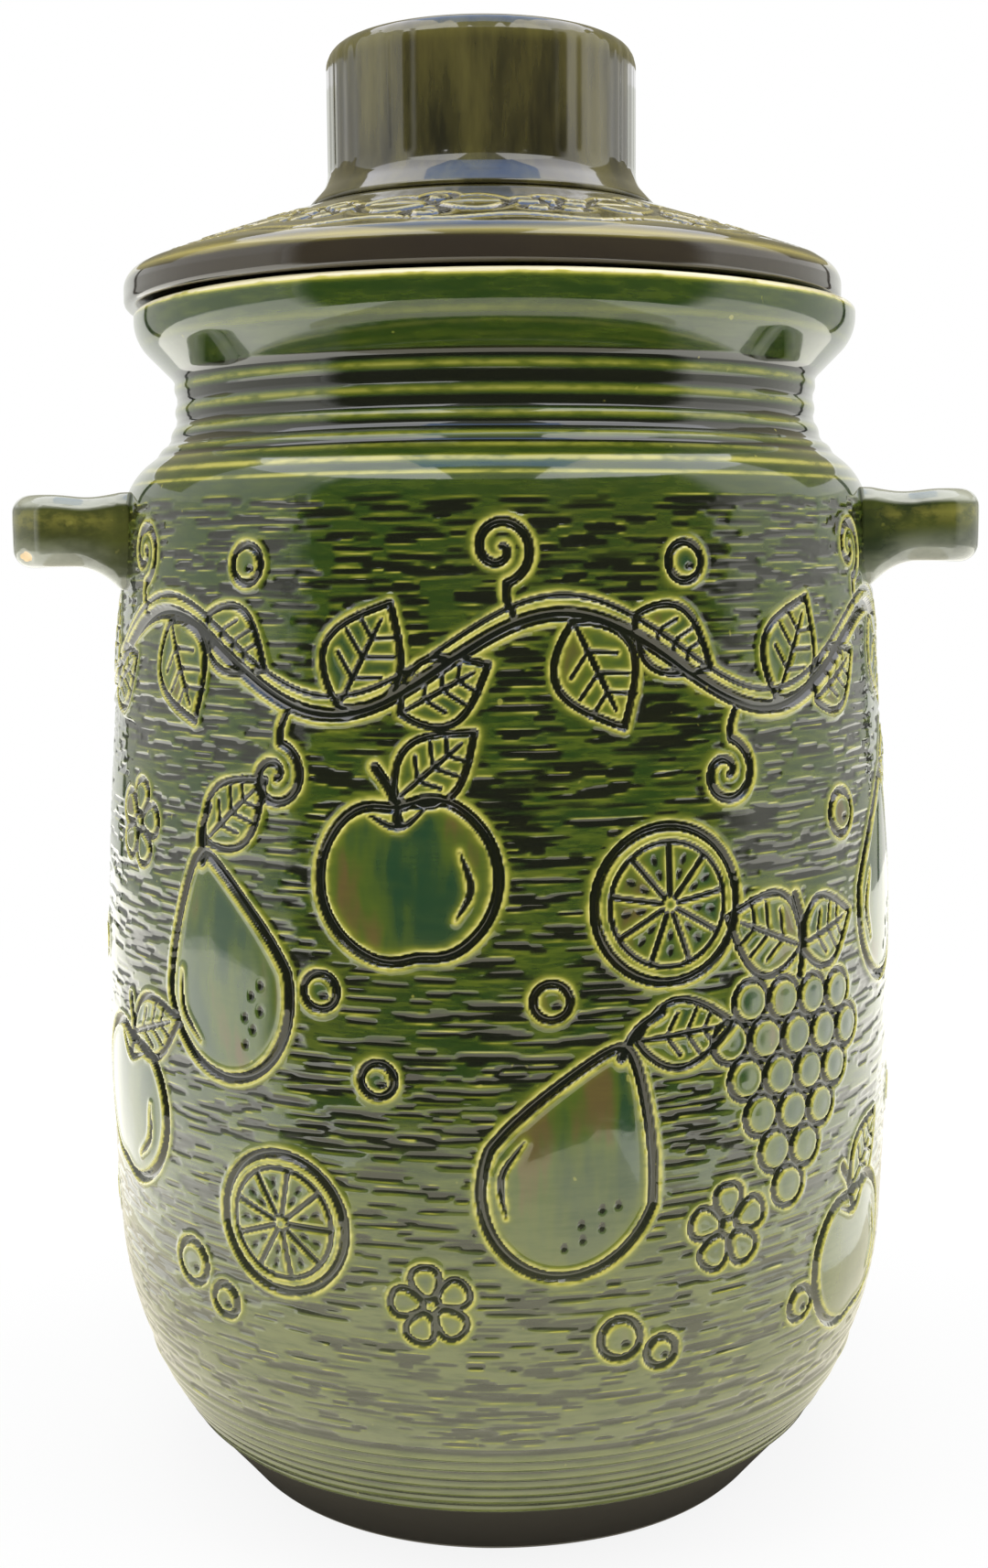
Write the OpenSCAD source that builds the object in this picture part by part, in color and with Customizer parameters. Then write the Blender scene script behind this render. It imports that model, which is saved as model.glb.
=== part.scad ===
// Two-handled stoneware preserving pot with a loose lid and a hollow lid knob

/* [Pot] */
// Height of the rim above the surface that the pot stands on
pot_h = 269; // [240:1:320]
// Largest diameter of the belly
belly_d = 185; // [178:1:205]
// Height of the widest place of the belly
belly_z = 118; // [105:1:130]
// Radius by which the upright outline of the belly bulges
belly_bulge_r = 880; // [600:20:1100]
// How far the upper wall leans in from the belly to the shoulder, on the radius
shoulder_taper = 8.1; // [6:0.1:9]
// How far the lower wall leans in from the belly to the base, on the radius
base_taper = 3.4; // [2:0.1:4.5]
// Radius of the rounded shoulder
shoulder_r = 15.5; // [8:0.5:17]
// Height of the shoulder's corner below the rim
shoulder_drop = 38; // [37.5:0.5:46]
// Outer diameter of the neck
neck_d = 147; // [142:1:149]
// Height from the neck's lower corner to the rim
neck_drop = 28.6; // [26:0.2:29]
// Radius of the hollow between the shoulder and the neck
neck_hollow_r = 13.5; // [8:0.5:14.5]
// Thickness of the wall
wall = 6.5; // [4.5:0.5:9]
// Thickness of the bottom
floor_t = 9; // [6:0.5:14]

/* [Rim] */
// Outer diameter of the rim
rim_d = 165.6; // [160:0.2:172]
// Height of the upright part of the rim, from its lower corner to its top
rim_h = 6; // [5.8:0.2:8]
// Radius of the rim's rounded lower edge
rim_under_r = 10; // [4:0.5:10]
// Radius of the rim's top edges
rim_edge_r = 1.6; // [0.8:0.1:1.8]
// Diameter of the mouth
mouth_d = 136; // [132:1:138]

/* [Base] */
// Diameter of the face that the pot stands on
foot_d = 128; // [118:0.4:132]
// Height of the foot's lower, steeper part
foot_h = 5.5; // [3:0.5:8]
// How far the foot widens over its lower part, on the radius
foot_flare = 3.8; // [2:0.2:5]
// Height where the foot meets the curved base
base_z = 14.4; // [12:0.2:17]
// Diameter of the pot where the foot meets the curved base
base_d = 150.4; // [146:0.4:155]
// Height of the corner that the curved base rounds off
base_corner_z = 38.5; // [36:0.5:42]
// Radius of the curved base
base_round_r = 81; // [60:1:92]
// Depth of the recess under the bottom
recess_h = 3; // [1.5:0.5:5]
// Width of the ring that the pot stands on
foot_ring_w = 12; // [8:1:16]

/* [Turned rings] */
// Number of rings on the neck
neck_rings = 4; // [0:1:4]
// Distance between two rings on the neck
neck_ring_pitch = 5; // [4:0.1:5.2]
// Number of rings on the curved base
base_rings = 7; // [0:1:9]
// Distance between two rings on the curved base
base_ring_pitch = 2.9; // [2.4:0.1:3.4]
// Radius of a ring's round section
ring_r = 1.3; // [1:0.1:1.6]
// How far a ring stands out of the wall
ring_out = 0.6; // [0.3:0.1:0.9]

/* [Ornament] */
// How far the fruit and the leaves stand out of the wall
relief_out = 0.6; // [0.3:0.1:1]
// Number of times that the set of fruit repeats round the belly
fruit_sets = 2; // [0:1:2]
// Number of leaf pairs on the vine that winds round the upper wall
vine_leaves = 12; // [0:2:14]
// How far the flowers and leaves on the lid stand out of its cone
lid_relief_out = 0.5; // [0.3:0.1:0.8]
// Number of flowers round the lid
lid_flowers = 8; // [0:1:8]

/* [Handles] */
// How far a handle stands out of the belly's widest place
handle_out = 17; // [16:0.5:24]
// Height of the handle's strap
strap_h = 17; // [13:0.5:20]
// Thickness of the strap, seen from above
strap_t = 10; // [8:0.5:13]
// Width of a handle across its two legs
handle_w = 58; // [50:1:70]
// Radius of the strap's outer bends, seen from above
handle_bend_r = 15; // [13:0.5:20]
// Height of the strap's top below the rim
handle_drop = 40.5; // [34:0.5:60]
// Radius of the strap's upper edges
strap_top_r = 3; // [1.5:0.5:4]
// Radius of the strap's lower edges
strap_low_r = 4.5; // [2:0.5:4.5]
// Radius of the fillets where the legs meet the pot, seen from above
root_r = 6; // [3:0.5:8]
// How far the root reaches below the strap
root_drop = 5.5; // [2:0.5:9]
// Length of the root's slope under each leg
root_len = 12; // [8:0.5:13]

/* [Lid] */
// Diameter of the lid
lid_d = 164.4; // [160:0.2:170]
// Height of the lid's rim above its seat on the pot
lid_edge_h = 8.4; // [7.8:0.1:10]
// Gap that shows between the rim of the lid and the rim of the pot
lid_shadow_gap = 1.8; // [0.6:0.1:2.2]
// Rise of the lid from its rim to the land that carries the knob
lid_rise = 14.6; // [11:0.2:18]
// Thickness of the lid
lid_wall = 6; // [5:0.5:7.5]
// Depth of the ring that centres the lid in the mouth
flange_h = 14; // [8:1:20]
// Thickness of that ring
flange_t = 4.6; // [3.5:0.1:6]
// Play of that ring in the mouth, on the radius
flange_play = 3.7; // [3.4:0.1:5]
// How far the lid has slid to the left within its play
lid_shift = 2.6; // [0:0.1:3]
// Gap between the lid's seat and the rim
seat_gap = 0.3; // [0.2:0.05:0.5]
// Radius of the lid's outer edges
lid_edge_r = 2.6; // [1:0.1:2.8]

/* [Knob] */
// Diameter of the knob
knob_d = 71; // [64:0.5:80]
// Height of the knob above the land that carries it
knob_h = 37.7; // [30:0.1:46]
// Width of the knob's foot beyond its side, on the radius
knob_foot_w = 5; // [3:0.5:7]
// Radius of the knob's rounded top edge
knob_top_r = 4.5; // [3:0.5:8]
// Rise of the knob's slightly domed top
knob_dome = 1.2; // [0.8:0.2:2]
// Thickness of the knob's side and top
knob_wall = 5; // [4:0.5:6.5]

/* [Hidden] */

// Colours: green glaze, its darker pooling on the handles, and the brown-green of the lid
glaze_c = "#4f6a35";
glaze_dark_c = "#3a4a22";
lid_c = "#4a4030";
knob_c = "#54502c";

// Roundness of the revolved pieces and of the small bends
round_fn = 96;
bend_fn = 32;
arc_steps = 6;
long_arc_steps = 10;

// Radii and heights that follow from the sizes above
belly_r = belly_d / 2;
neck_r = neck_d / 2;
rim_r = rim_d / 2;
mouth_r = mouth_d / 2;
foot_r = foot_d / 2;
base_r = base_d / 2;
knob_r = knob_d / 2;
shoulder_z = pot_h - shoulder_drop;
neck_low_z = pot_h - neck_drop;
rim_low_z = pot_h - rim_h;
rim_slope_h = rim_r - neck_r;
neck_top_z = rim_low_z - rim_slope_h;

// Belly: leans of the wall above and below it, and the radius of the corner that the bulge rounds off
upper_lean = atan2(shoulder_taper, shoulder_z - belly_z);
lower_lean = atan2(base_taper, belly_z - base_corner_z);
bulge_cut = cos((upper_lean - lower_lean) / 2) / cos((upper_lean + lower_lean) / 2) - 1;
corner_r = belly_r + belly_bulge_r * bulge_cut;
shoulder_wall_r = corner_r - shoulder_taper;
low_wall_r = corner_r - base_taper;

// Base: lean of the slope above the foot, its straight length, and the centre of the arc above it
base_lean = atan2(low_wall_r - base_r, base_corner_z - base_z);
base_tangent = base_round_r * tan((base_lean - lower_lean) / 2);
base_straight = norm([low_wall_r - base_r, base_corner_z - base_z]) - base_tangent;
base_way = [sin(base_lean), cos(base_lean)];
base_arc_at = [low_wall_r, base_corner_z] - base_tangent * base_way
    - base_round_r * [cos(base_lean), -sin(base_lean)];

// Neck: lean of the shoulder's slope, and the height where the hollow under the neck ends
shoulder_lean = atan2(shoulder_wall_r - neck_r, neck_low_z - shoulder_z);
hollow_top_z = neck_low_z + neck_hollow_r * tan(shoulder_lean / 2);

// Inside of the pot
floor_corner_r = 22;
mouth_flare = 1.5;
mouth_flare_h = 6;

// Strap and root
strap_top_z = pot_h - handle_drop;
strap_z = strap_top_z - strap_h / 2;
strap_low_z = strap_top_z - strap_h;
fillet_top_z = min(strap_top_z - strap_top_r, shoulder_z - shoulder_r / 2);
handle_reach = belly_r + handle_out;
bend_mid_r = handle_bend_r - strap_t / 2;
leg_y = handle_w / 2 - strap_t / 2;
bar_x = handle_reach - strap_t / 2;
bend_x = handle_reach - handle_bend_r;
bend_y = handle_w / 2 - handle_bend_r;
root_depth = 30;

// Lid: radii from its own axis, heights from the surface that the pot stands on
seat_z = pot_h + seat_gap;
lid_r = lid_d / 2;
lid_low_z = pot_h + lid_shadow_gap;
lid_top_z = seat_z + lid_edge_h;
land_z = lid_top_z + lid_rise;
land_r = knob_r + knob_foot_w;
flange_r = mouth_r - flange_play;
seat_out_r = mouth_r + 6;
crown_r = knob_r - knob_wall;
knob_top_z = land_z + knob_h;

// First ring on the base lies just above the foot; the rings' centres lie inside the wall
base_ring_start = 1.6;
ring_inset = ring_r - ring_out;

// Fruit round the belly: [angle, height, width, height of the form, narrowing at its top, tilt]
fruit_set = [
    [-11, 152, 35, 33, 0, 8],
    [-38, 131.5, 33, 46, 0.3, 14],
    [21, 146, 31, 31, 0, 0],
    [42, 105, 43, 48, 0.45, 180],
    [-62, 96, 36, 34, 0, -14],
    [9, 95, 34, 46, 0.3, -22],
    [-29, 80, 29, 29, 0, 0],
    [58, 62, 34, 32, 0, 12],
    [68, 143, 32, 43, 0.3, -10],
    [-58, 158, 18, 18, 0, 0],
    [30, 78, 18, 18, 0, 0],
    [-9, 66, 16, 16, 0, 0],
];
// Number of corners of a form's outline, the vine's height and how far its leaves swing
form_fn = 16;
vine_z = 193.5;
vine_swing = 8.3;
leaf_w = 17.5;
leaf_l = 22;
side_leaf_w = 13;
side_leaf_l = 19;
side_leaf_turn = 8.2;

// Lid's ornament: way from the edge of the cone to the flowers, their size, and the leaves beside them
flower_inset = 21;
flower_w = 16;
flower_leaf_w = 12;
flower_leaf_l = 16;
flower_leaf_at = 8.5;
lid_berry_w = 7;
lid_berry_way = 8;

// A point at distance d from p towards q
function toward(p, q, d) = p + (q - p) * d / norm(q - p);

// Angle at the corner between the ways to the two neighbours
function corner_angle(a, b, c) =
    let (u = (a - b) / norm(a - b), v = (c - b) / norm(c - b))
    acos(max(-1, min(1, u * v)));

// Points of the arc of radius r that rounds the corner b between a and c
function rounded(a, b, c, r, steps) =
    let (half = corner_angle(a, b, c) / 2)
    let (reach = r / tan(half))
    let (p = toward(b, a, reach), q = toward(b, c, reach))
    let (middle = toward(b, (p + q) / 2, r / sin(half)))
    let (from = atan2(p[1] - middle[1], p[0] - middle[0]))
    let (raw = atan2(q[1] - middle[1], q[0] - middle[0]) - from)
    let (sweep = raw > 180 ? raw - 360 : raw < -180 ? raw + 360 : raw)
    [for (i = [0:steps]) middle + r * [cos(from + sweep * i / steps), sin(from + sweep * i / steps)]];

// Outline through corners given as [radius, height, rounding]; a rounding of 0 keeps the corner
function outline(corners) =
    let (n = len(corners))
    let (xy = [for (c = corners) [c[0], c[1]]])
    [for (i = [0:n - 1])
        each corners[i][2] == 0
            ? [xy[i]]
            : rounded(xy[(i + n - 1) % n], xy[i], xy[(i + 1) % n], corners[i][2],
                      corners[i][2] > 50 ? long_arc_steps : arc_steps)];

// Outer corners of the pot from the foot to the rim
outer_corners = [
    [foot_r, 0, 0],
    [foot_r + foot_flare, foot_h, 0],
    [base_r, base_z, 0],
    [low_wall_r, base_corner_z, base_round_r],
    [corner_r, belly_z, belly_bulge_r],
    [shoulder_wall_r, shoulder_z, shoulder_r],
    [neck_r, neck_low_z, neck_hollow_r],
    [neck_r, neck_top_z, rim_under_r / 2],
    [rim_r, rim_low_z, rim_under_r],
    [rim_r, pot_h, rim_edge_r],
];

// Inner corners of the pot from the mouth to the floor
inner_corners = [
    [mouth_r + mouth_flare, pot_h, rim_edge_r],
    [mouth_r, pot_h - mouth_flare_h, 0],
    [mouth_r, neck_low_z - wall / 2, neck_hollow_r],
    [shoulder_wall_r - wall, shoulder_z - wall / 2, shoulder_r / 2],
    [corner_r - wall, belly_z, belly_bulge_r],
    [low_wall_r - wall, base_corner_z + wall / 2, base_round_r - 3 * wall],
    [foot_r, floor_t, floor_corner_r],
    [0, floor_t, 0],
];

// Solid of the pot's outer form, without rings
module pot_solid() {
    rotate_extrude($fn = round_fn)
        polygon(outline(concat([[0, 0, 0]], outer_corners, [[0, pot_h, 0]])));
}

// Centre of a ring on the neck, at a way s above the hollow's upper end; below it the ring follows the hollow
function neck_ring_at(s) =
    let (turn = s < 0 ? -s / neck_hollow_r * 180 / PI : 0)
    let (reach = neck_hollow_r + ring_inset)
    [neck_r + neck_hollow_r - reach * cos(turn), hollow_top_z + max(s, 0) - reach * sin(turn)];

// Centre of a ring on the base, at a way s along the wall from the foot
function base_ring_at(s) =
    let (turn = base_lean - max(s - base_straight, 0) / base_round_r * 180 / PI)
    s < base_straight
        ? [base_r, base_z] + s * base_way - ring_inset * [cos(base_lean), -sin(base_lean)]
        : base_arc_at + (base_round_r - ring_inset) * [cos(turn), -sin(turn)];

// Sections of the rings on the neck and on the base
module ring_sections() {
    for (i = [0:1:neck_rings - 1])
        translate(neck_ring_at((1 - i) * neck_ring_pitch))
            circle(r = ring_r, $fn = bend_fn);
    for (i = [0:1:base_rings - 1])
        translate(base_ring_at(base_ring_start + i * base_ring_pitch))
            circle(r = ring_r, $fn = bend_fn);
}

// Outline of a fruit: round below, narrower above
module fruit_outline(w, h, narrow) {
    polygon([for (i = [0:form_fn - 1])
        let (t = 360 * i / form_fn)
        [w / 2 * cos(t) * (1 - narrow * max(sin(t), 0)), h / 2 * sin(t)]]);
}

// Outline of a leaf with its stalk at the origin, its tip at the height l
module leaf_outline(w, l) {
    polygon([for (i = [0:form_fn - 1])
        let (t = (i + 0.5) / form_fn * 2)
        t < 1 ? [w / 2 * sin(180 * t), l * t] : [-w / 2 * sin(180 * (2 - t)), l * (2 - t)]]);
}

// Prism from inside the wall to beyond it, at an angle from the front and a height
module form_at(angle, z) {
    rotate([0, 0, angle])
        translate([0, -belly_r + wall / 2 + shoulder_taper, z])
            rotate([90, 0, 0])
                linear_extrude(wall / 2 + shoulder_taper + 5)
                    children();
}

// Raised forms of the ornament, ending on a skin just outside the wall
module raised_forms() {
    intersection() {
        rotate_extrude($fn = round_fn)
            polygon(outline([
                [low_wall_r - base_r / 2, base_corner_z, 0],
                [low_wall_r + relief_out, base_corner_z, 0],
                [corner_r + relief_out, belly_z, belly_bulge_r],
                [shoulder_wall_r + relief_out, shoulder_z, 0],
                [shoulder_wall_r - base_r / 2, shoulder_z, 0],
            ]));
        union() {
            for (turn = [0:1:fruit_sets - 1])
                for (f = fruit_set)
                    form_at(f[0] + 180 * turn, f[1])
                        rotate(f[5])
                            fruit_outline(f[2], f[3], f[4]);
            for (i = [0:1:vine_leaves - 1]) {
                up = i % 2 == 0 ? -1 : 1;
                place = -180 + (i + 0.32) * 360 / vine_leaves;
                form_at(place, vine_z - up * vine_swing)
                    rotate(up > 0 ? -28 : 206)
                        leaf_outline(leaf_w, leaf_l);
                form_at(place + side_leaf_turn, vine_z - up * (vine_swing + 1))
                    rotate(up > 0 ? -62 : 238)
                        leaf_outline(side_leaf_w, side_leaf_l);
            }
        }
    }
}

module pot_body() {
    color(glaze_c)
    difference() {
        union() {
            rotate_extrude($fn = round_fn)
                union() {
                    polygon(outline(concat(outer_corners, inner_corners, [[0, 0, 0]])));
                    ring_sections();
                }
            raised_forms();
        }
        translate([0, 0, -1])
            cylinder(r = foot_r - foot_ring_w, h = recess_h + 1, $fn = round_fn);
    }
}

// Section of the strap, upright, centred on the origin
module strap_section() {
    for (side = [-1, 1]) {
        translate([side * (strap_t / 2 - strap_top_r), strap_h / 2 - strap_top_r])
            circle(r = strap_top_r, $fn = bend_fn);
        translate([side * (strap_t / 2 - strap_low_r), -strap_h / 2 + strap_low_r])
            circle(r = strap_low_r, $fn = bend_fn);
    }
    translate([-strap_t / 2, -strap_h / 2 + strap_low_r])
        square([strap_t, strap_h - strap_low_r - strap_top_r]);
    translate([-strap_t / 2 + strap_top_r, 0])
        square([strap_t - 2 * strap_top_r, strap_h / 2]);
    translate([-strap_t / 2 + strap_low_r, -strap_h / 2])
        square([strap_t - 2 * strap_low_r, strap_h / 2]);
}

// One leg and one bend of the strap, on the side of +Y
module strap_half() {
    translate([bend_x - root_depth, leg_y, strap_z])
        rotate([90, 0, 90])
            linear_extrude(root_depth)
                strap_section();
    translate([bend_x, bend_y, strap_z])
        rotate_extrude(angle = 90, $fn = round_fn)
            translate([bend_mid_r, 0])
                strap_section();
}

// Upright wedge with a hollow face that carries a leg from below
module root_wedge() {
    wedge_x = shoulder_wall_r;
    rise = root_drop + strap_low_r;
    translate([0, leg_y + strap_t / 2, strap_low_z - root_drop])
        rotate([90, 0, 0])
            linear_extrude(strap_t)
                difference() {
                    translate([wedge_x - root_depth / 2, 0])
                        square([root_depth / 2 + root_len, rise]);
                    translate([wedge_x + root_len, 0])
                        scale([root_len / rise, 1])
                            circle(r = rise, $fn = round_fn);
                }
}

// Fillets beside a leg, seen from above: outside it and inside the finger gap
module root_fillets() {
    low = strap_low_z + strap_low_r;
    for (side = [-1, 1])
        translate([0, leg_y + side * strap_t / 2, low])
            linear_extrude(fillet_top_z - low)
                difference() {
                    wall_x = sqrt(pow(shoulder_wall_r, 2) - pow(leg_y + side * (strap_t / 2 + root_r), 2));
                    translate([wall_x - root_depth / 3, side > 0 ? -1 : -root_r])
                        square([root_depth / 3 + root_r, root_r + 1]);
                    translate([wall_x + root_r, side * root_r])
                        circle(r = root_r, $fn = round_fn);
                }
}

// A handle on the side of +X, cut to the pot's own outline
module handle() {
    color(glaze_dark_c)
    difference() {
        union() {
            for (side = [0, 1])
                mirror([0, side, 0]) {
                    strap_half();
                    root_wedge();
                    root_fillets();
                }
            translate([bar_x, 0, strap_z])
                rotate([90, 0, 0])
                    linear_extrude(2 * bend_y, center = true)
                        strap_section();
        }
        pot_solid();
    }
}

module handle_left() {
    mirror([1, 0, 0])
        handle();
}

module handle_right() {
    handle();
}

// Outlines of the lid's flowers, leaves and berries, seen from above
module lid_outlines() {
    for (i = [0:1:lid_flowers - 1]) {
        place = -180 + (i + 0.3) * 360 / lid_flowers;
        rotate(place)
            translate([0, flower_inset - lid_r]) {
                fruit_outline(flower_w, flower_w, 0);
                for (hand = [-1, 1])
                    translate([hand * flower_leaf_at, 0])
                        rotate(-hand * 96)
                            leaf_outline(flower_leaf_w, flower_leaf_l);
            }
        for (way = [-1, 1])
            rotate(place + 180 / lid_flowers)
                translate([0, flower_inset - lid_r + way * lid_berry_way])
                    fruit_outline(lid_berry_w, lid_berry_w, 0);
    }
}

// Raised forms of the lid's ornament, ending on a skin just above its cone
module lid_forms() {
    slope = lid_rise / (lid_r - land_r);
    out_r = lid_r - lid_edge_r - 2;
    in_r = land_r + 2;
    intersection() {
        rotate_extrude($fn = round_fn)
            polygon([
                [in_r, lid_top_z + slope * (lid_r - in_r) - lid_wall / 2],
                [out_r, lid_top_z + slope * (lid_r - out_r) - lid_wall / 2],
                [out_r, lid_top_z + slope * (lid_r - out_r) + lid_relief_out],
                [in_r, lid_top_z + slope * (lid_r - in_r) + lid_relief_out],
            ]);
        translate([0, 0, lid_top_z - lid_wall])
            linear_extrude(lid_rise + 2 * lid_wall)
                lid_outlines();
    }
}

module lid() {
    color(lid_c)
    translate([-lid_shift, 0, 0]) {
        rotate_extrude($fn = round_fn)
            polygon(outline([
                [flange_r - flange_t, seat_z - flange_h, flange_t / 4],
                [flange_r, seat_z - flange_h, flange_t / 4],
                [flange_r, seat_z, 0],
                [seat_out_r, seat_z, 0],
                [seat_out_r + 2, lid_low_z, 0],
                [lid_r, lid_low_z, lid_edge_r * 0.85],
                [lid_r, lid_top_z, lid_edge_r],
                [land_r, land_z, 0],
                [crown_r, land_z, 0],
                [crown_r, land_z - lid_wall, 1],
                [flange_r - flange_t, lid_top_z - lid_wall / 3, lid_wall / 2],
            ]));
        lid_forms();
    }
}

module lid_knob() {
    dome_z = knob_top_z - knob_dome;
    color(knob_c)
    translate([-lid_shift, 0, 0])
        rotate_extrude($fn = round_fn)
            polygon(outline([
                [crown_r, land_z, 0],
                [land_r, land_z, 0],
                [knob_r, land_z + knob_foot_w, knob_foot_w],
                [knob_r, dome_z, knob_top_r],
                [0, knob_top_z, 0],
                [0, knob_top_z - knob_wall, 0],
                [crown_r, dome_z - knob_wall, knob_top_r - knob_wall / 2],
            ]));
}

pot_body();
handle_left();
handle_right();
lid();
lid_knob();
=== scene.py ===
import math

import bmesh
import bpy
import numpy as np
from mathutils import Matrix, Vector

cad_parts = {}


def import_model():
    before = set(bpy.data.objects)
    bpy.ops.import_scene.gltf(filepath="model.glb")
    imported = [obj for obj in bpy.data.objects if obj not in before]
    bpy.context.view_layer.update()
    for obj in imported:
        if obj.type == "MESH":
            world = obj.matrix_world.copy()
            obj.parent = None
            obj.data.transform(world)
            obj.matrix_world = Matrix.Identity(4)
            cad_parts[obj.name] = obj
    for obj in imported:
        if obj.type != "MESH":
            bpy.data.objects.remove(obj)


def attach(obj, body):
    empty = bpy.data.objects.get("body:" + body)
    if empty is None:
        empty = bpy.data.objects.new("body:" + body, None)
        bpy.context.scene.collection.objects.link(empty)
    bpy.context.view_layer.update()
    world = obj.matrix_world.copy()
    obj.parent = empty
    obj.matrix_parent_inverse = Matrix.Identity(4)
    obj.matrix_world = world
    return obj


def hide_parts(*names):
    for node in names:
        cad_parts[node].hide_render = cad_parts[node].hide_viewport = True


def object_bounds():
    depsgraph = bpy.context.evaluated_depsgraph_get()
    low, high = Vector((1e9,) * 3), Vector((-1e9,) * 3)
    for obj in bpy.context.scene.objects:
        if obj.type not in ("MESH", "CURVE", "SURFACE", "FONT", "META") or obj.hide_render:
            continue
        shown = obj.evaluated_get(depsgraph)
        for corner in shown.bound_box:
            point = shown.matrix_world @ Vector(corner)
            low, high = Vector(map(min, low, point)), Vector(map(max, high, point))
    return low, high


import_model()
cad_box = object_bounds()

MM = 0.001
RNG = np.random.default_rng(7)

# Sizes in millimetres. Pot: radii of its wall's corners, and heights worked out from the pot's height
POT_H = 269.0
RIM_TOP_Z = POT_H + 0.2
CORNER_R = 93.85
SHOULDER_R = CORNER_R - 8.1
LOW_R = CORNER_R - 3.4
NECK_R = 73.5
RIM_R = 82.8
MOUTH_R = 68.0
FOOT_R = 64.0
BASE_R = 75.2
WALL = 6.5
BASE_Z = 14.4
BASE_CORNER_Z = 38.5
BASE_ROUND_R = 81.0
BELLY_Z = 118.0
BELLY_BULGE_R = 880.0
SHOULDER_Z = POT_H - 38.0
SHOULDER_ROUND_R = 15.5
NECK_LOW_Z = POT_H - 28.6
HOLLOW_R = 13.5
SHOULDER_LEAN = math.atan2(SHOULDER_R - NECK_R, NECK_LOW_Z - SHOULDER_Z)
HOLLOW_TOP_Z = NECK_LOW_Z + HOLLOW_R * math.tan(SHOULDER_LEAN / 2)
RIM_LOW_Z = POT_H - 6.0
NECK_TOP_Z = RIM_LOW_Z - (RIM_R - NECK_R)
FLOOR_Z = 9.0
RECESS_H = 3.0
FOOT_RING_W = 12.0

# Lid and knob; the lid's edge is a little lower and rounder than the solid's
LID_SHIFT = 2.6
LID_R = 82.2
LID_LOW_Z = POT_H + 1.0
LID_TOP_Z = LID_LOW_Z + 7.2
SEAT_Z = POT_H + 0.3
SEAT_OUT_R = MOUTH_R + 6.0
FLANGE_R = MOUTH_R - 3.7
FLANGE_IN_R = FLANGE_R - 4.6
FLANGE_H = 14.0
KNOB_R = 35.5
KNOB_WALL = 5.0
KNOB_FOOT_W = 5.0
KNOB_TOP_Z = round(cad_box[1][2] / MM, 2)
KNOB_DOME = 1.2
KNOB_ROUND_R = 4.5
LAND_R = KNOB_R + KNOB_FOOT_W
LAND_Z = KNOB_TOP_Z - 37.7
CROWN_R = KNOB_R - KNOB_WALL

# Handles: the strap, its start inside the wall, the reach of its root, and the chip in the left one
STRAP_TOP_Z = POT_H - 40.5
STRAP_LOW_Z = STRAP_TOP_Z - 17.0
STRAP_T = 10.0
STRAP_ROUND_R = 4.3
STRAP_POINTS = 40
HANDLE_REACH = round(cad_box[1][0] / MM, 2)
HANDLE_HALF_W = 29.0
BEND_R = 11.5
ROOT_X = 80.5
ROOT_DROP = 5.5
HANDLE_WALL_R = 87.0
CHIP_AT = (-106.0, -28.0, 214.2)
CHIP_R = 2.9
CHIP_DEPTH = 1.0

# Grid of the relief: steps round the pot and along its outline
AROUND = 1280
RELIEF_STEP = 0.45
INNER_STEP = 3.0
UNROLL_R = 91.0
GIRTH = 2 * math.pi * UNROLL_R

# Ornament: heights between which the scratched ground and the vine lie, and the scratches' count and depth
GROUND_V = (31, 226)
VINE_V = (169, 218)
DASHES = 10500
GROUND_DEPTH = 0.42
FRUIT_LINE_W = 2.4
FRUIT_LINE_DEPTH = 1.0

# Rings on the base and the neck
BASE_RINGS = 7
BASE_RING_PITCH = 2.9
NECK_RINGS = 4
NECK_RING_PITCH = 5
RING_OUT = 0.55

# Lid's ornament: the radius at which it is unrolled, its strength, and its ways in from the edge
LID_UNROLL_R = 62.0
LID_FLOWERS = 8
LID_BOLD = 1.5
LID_RELIEF = 0.55
LID_FLOWER_IN = 27
LID_WAVE_IN = 12.4
LID_LINE_IN = 5.6
LID_BAND_IN = 4.3

# Glaze colours, linear
GREEN_DEEP = (0.022, 0.046, 0.007)
GREEN_MID = (0.075, 0.105, 0.011)
GREEN_OLIVE = (0.070, 0.080, 0.012)
GREEN_CLEAR = (0.070, 0.105, 0.014)
GREEN_COLD = (0.017, 0.052, 0.022)
GREEN_BROWN = (0.120, 0.082, 0.026)
# Painted light: a pale green that stands for the white table's light on the lower wall
GREEN_PAINTED_LIGHT = (0.180, 0.192, 0.078)
GREEN_INSIDE = (0.070, 0.078, 0.020)
EDGE_GREEN = (0.170, 0.190, 0.018)
THIN_GLAZE = (0.55, 0.50, 0.10)
CREAM = (0.78, 0.70, 0.44)
POOLED = (0.009, 0.009, 0.005)
# Painted light: paler pooled glaze low down, for the same table light
POOLED_PAINTED_LIGHT = (0.062, 0.066, 0.036)
FOOT_BROWN = (0.040, 0.034, 0.022)
LID_DARK = (0.050, 0.042, 0.014)
LID_OLIVE = (0.140, 0.118, 0.030)
LID_THIN = (0.50, 0.42, 0.12)
LID_POOL = (0.012, 0.010, 0.007)
LID_BAND = (0.030, 0.023, 0.016)
KNOB_DARK = (0.020, 0.019, 0.009)
KNOB_OLIVE = (0.098, 0.086, 0.024)
KNOB_BROWN = (0.055, 0.042, 0.016)
KNOB_THIN = (0.17, 0.15, 0.035)
HANDLE_DARK = (0.020, 0.030, 0.010)
HANDLE_GREEN = (0.060, 0.072, 0.014)
HANDLE_THIN = (0.26, 0.24, 0.045)
HANDLE_PAINTED_SHEEN = (0.40, 0.41, 0.33)
CLAY = (0.78, 0.56, 0.29)

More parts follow.
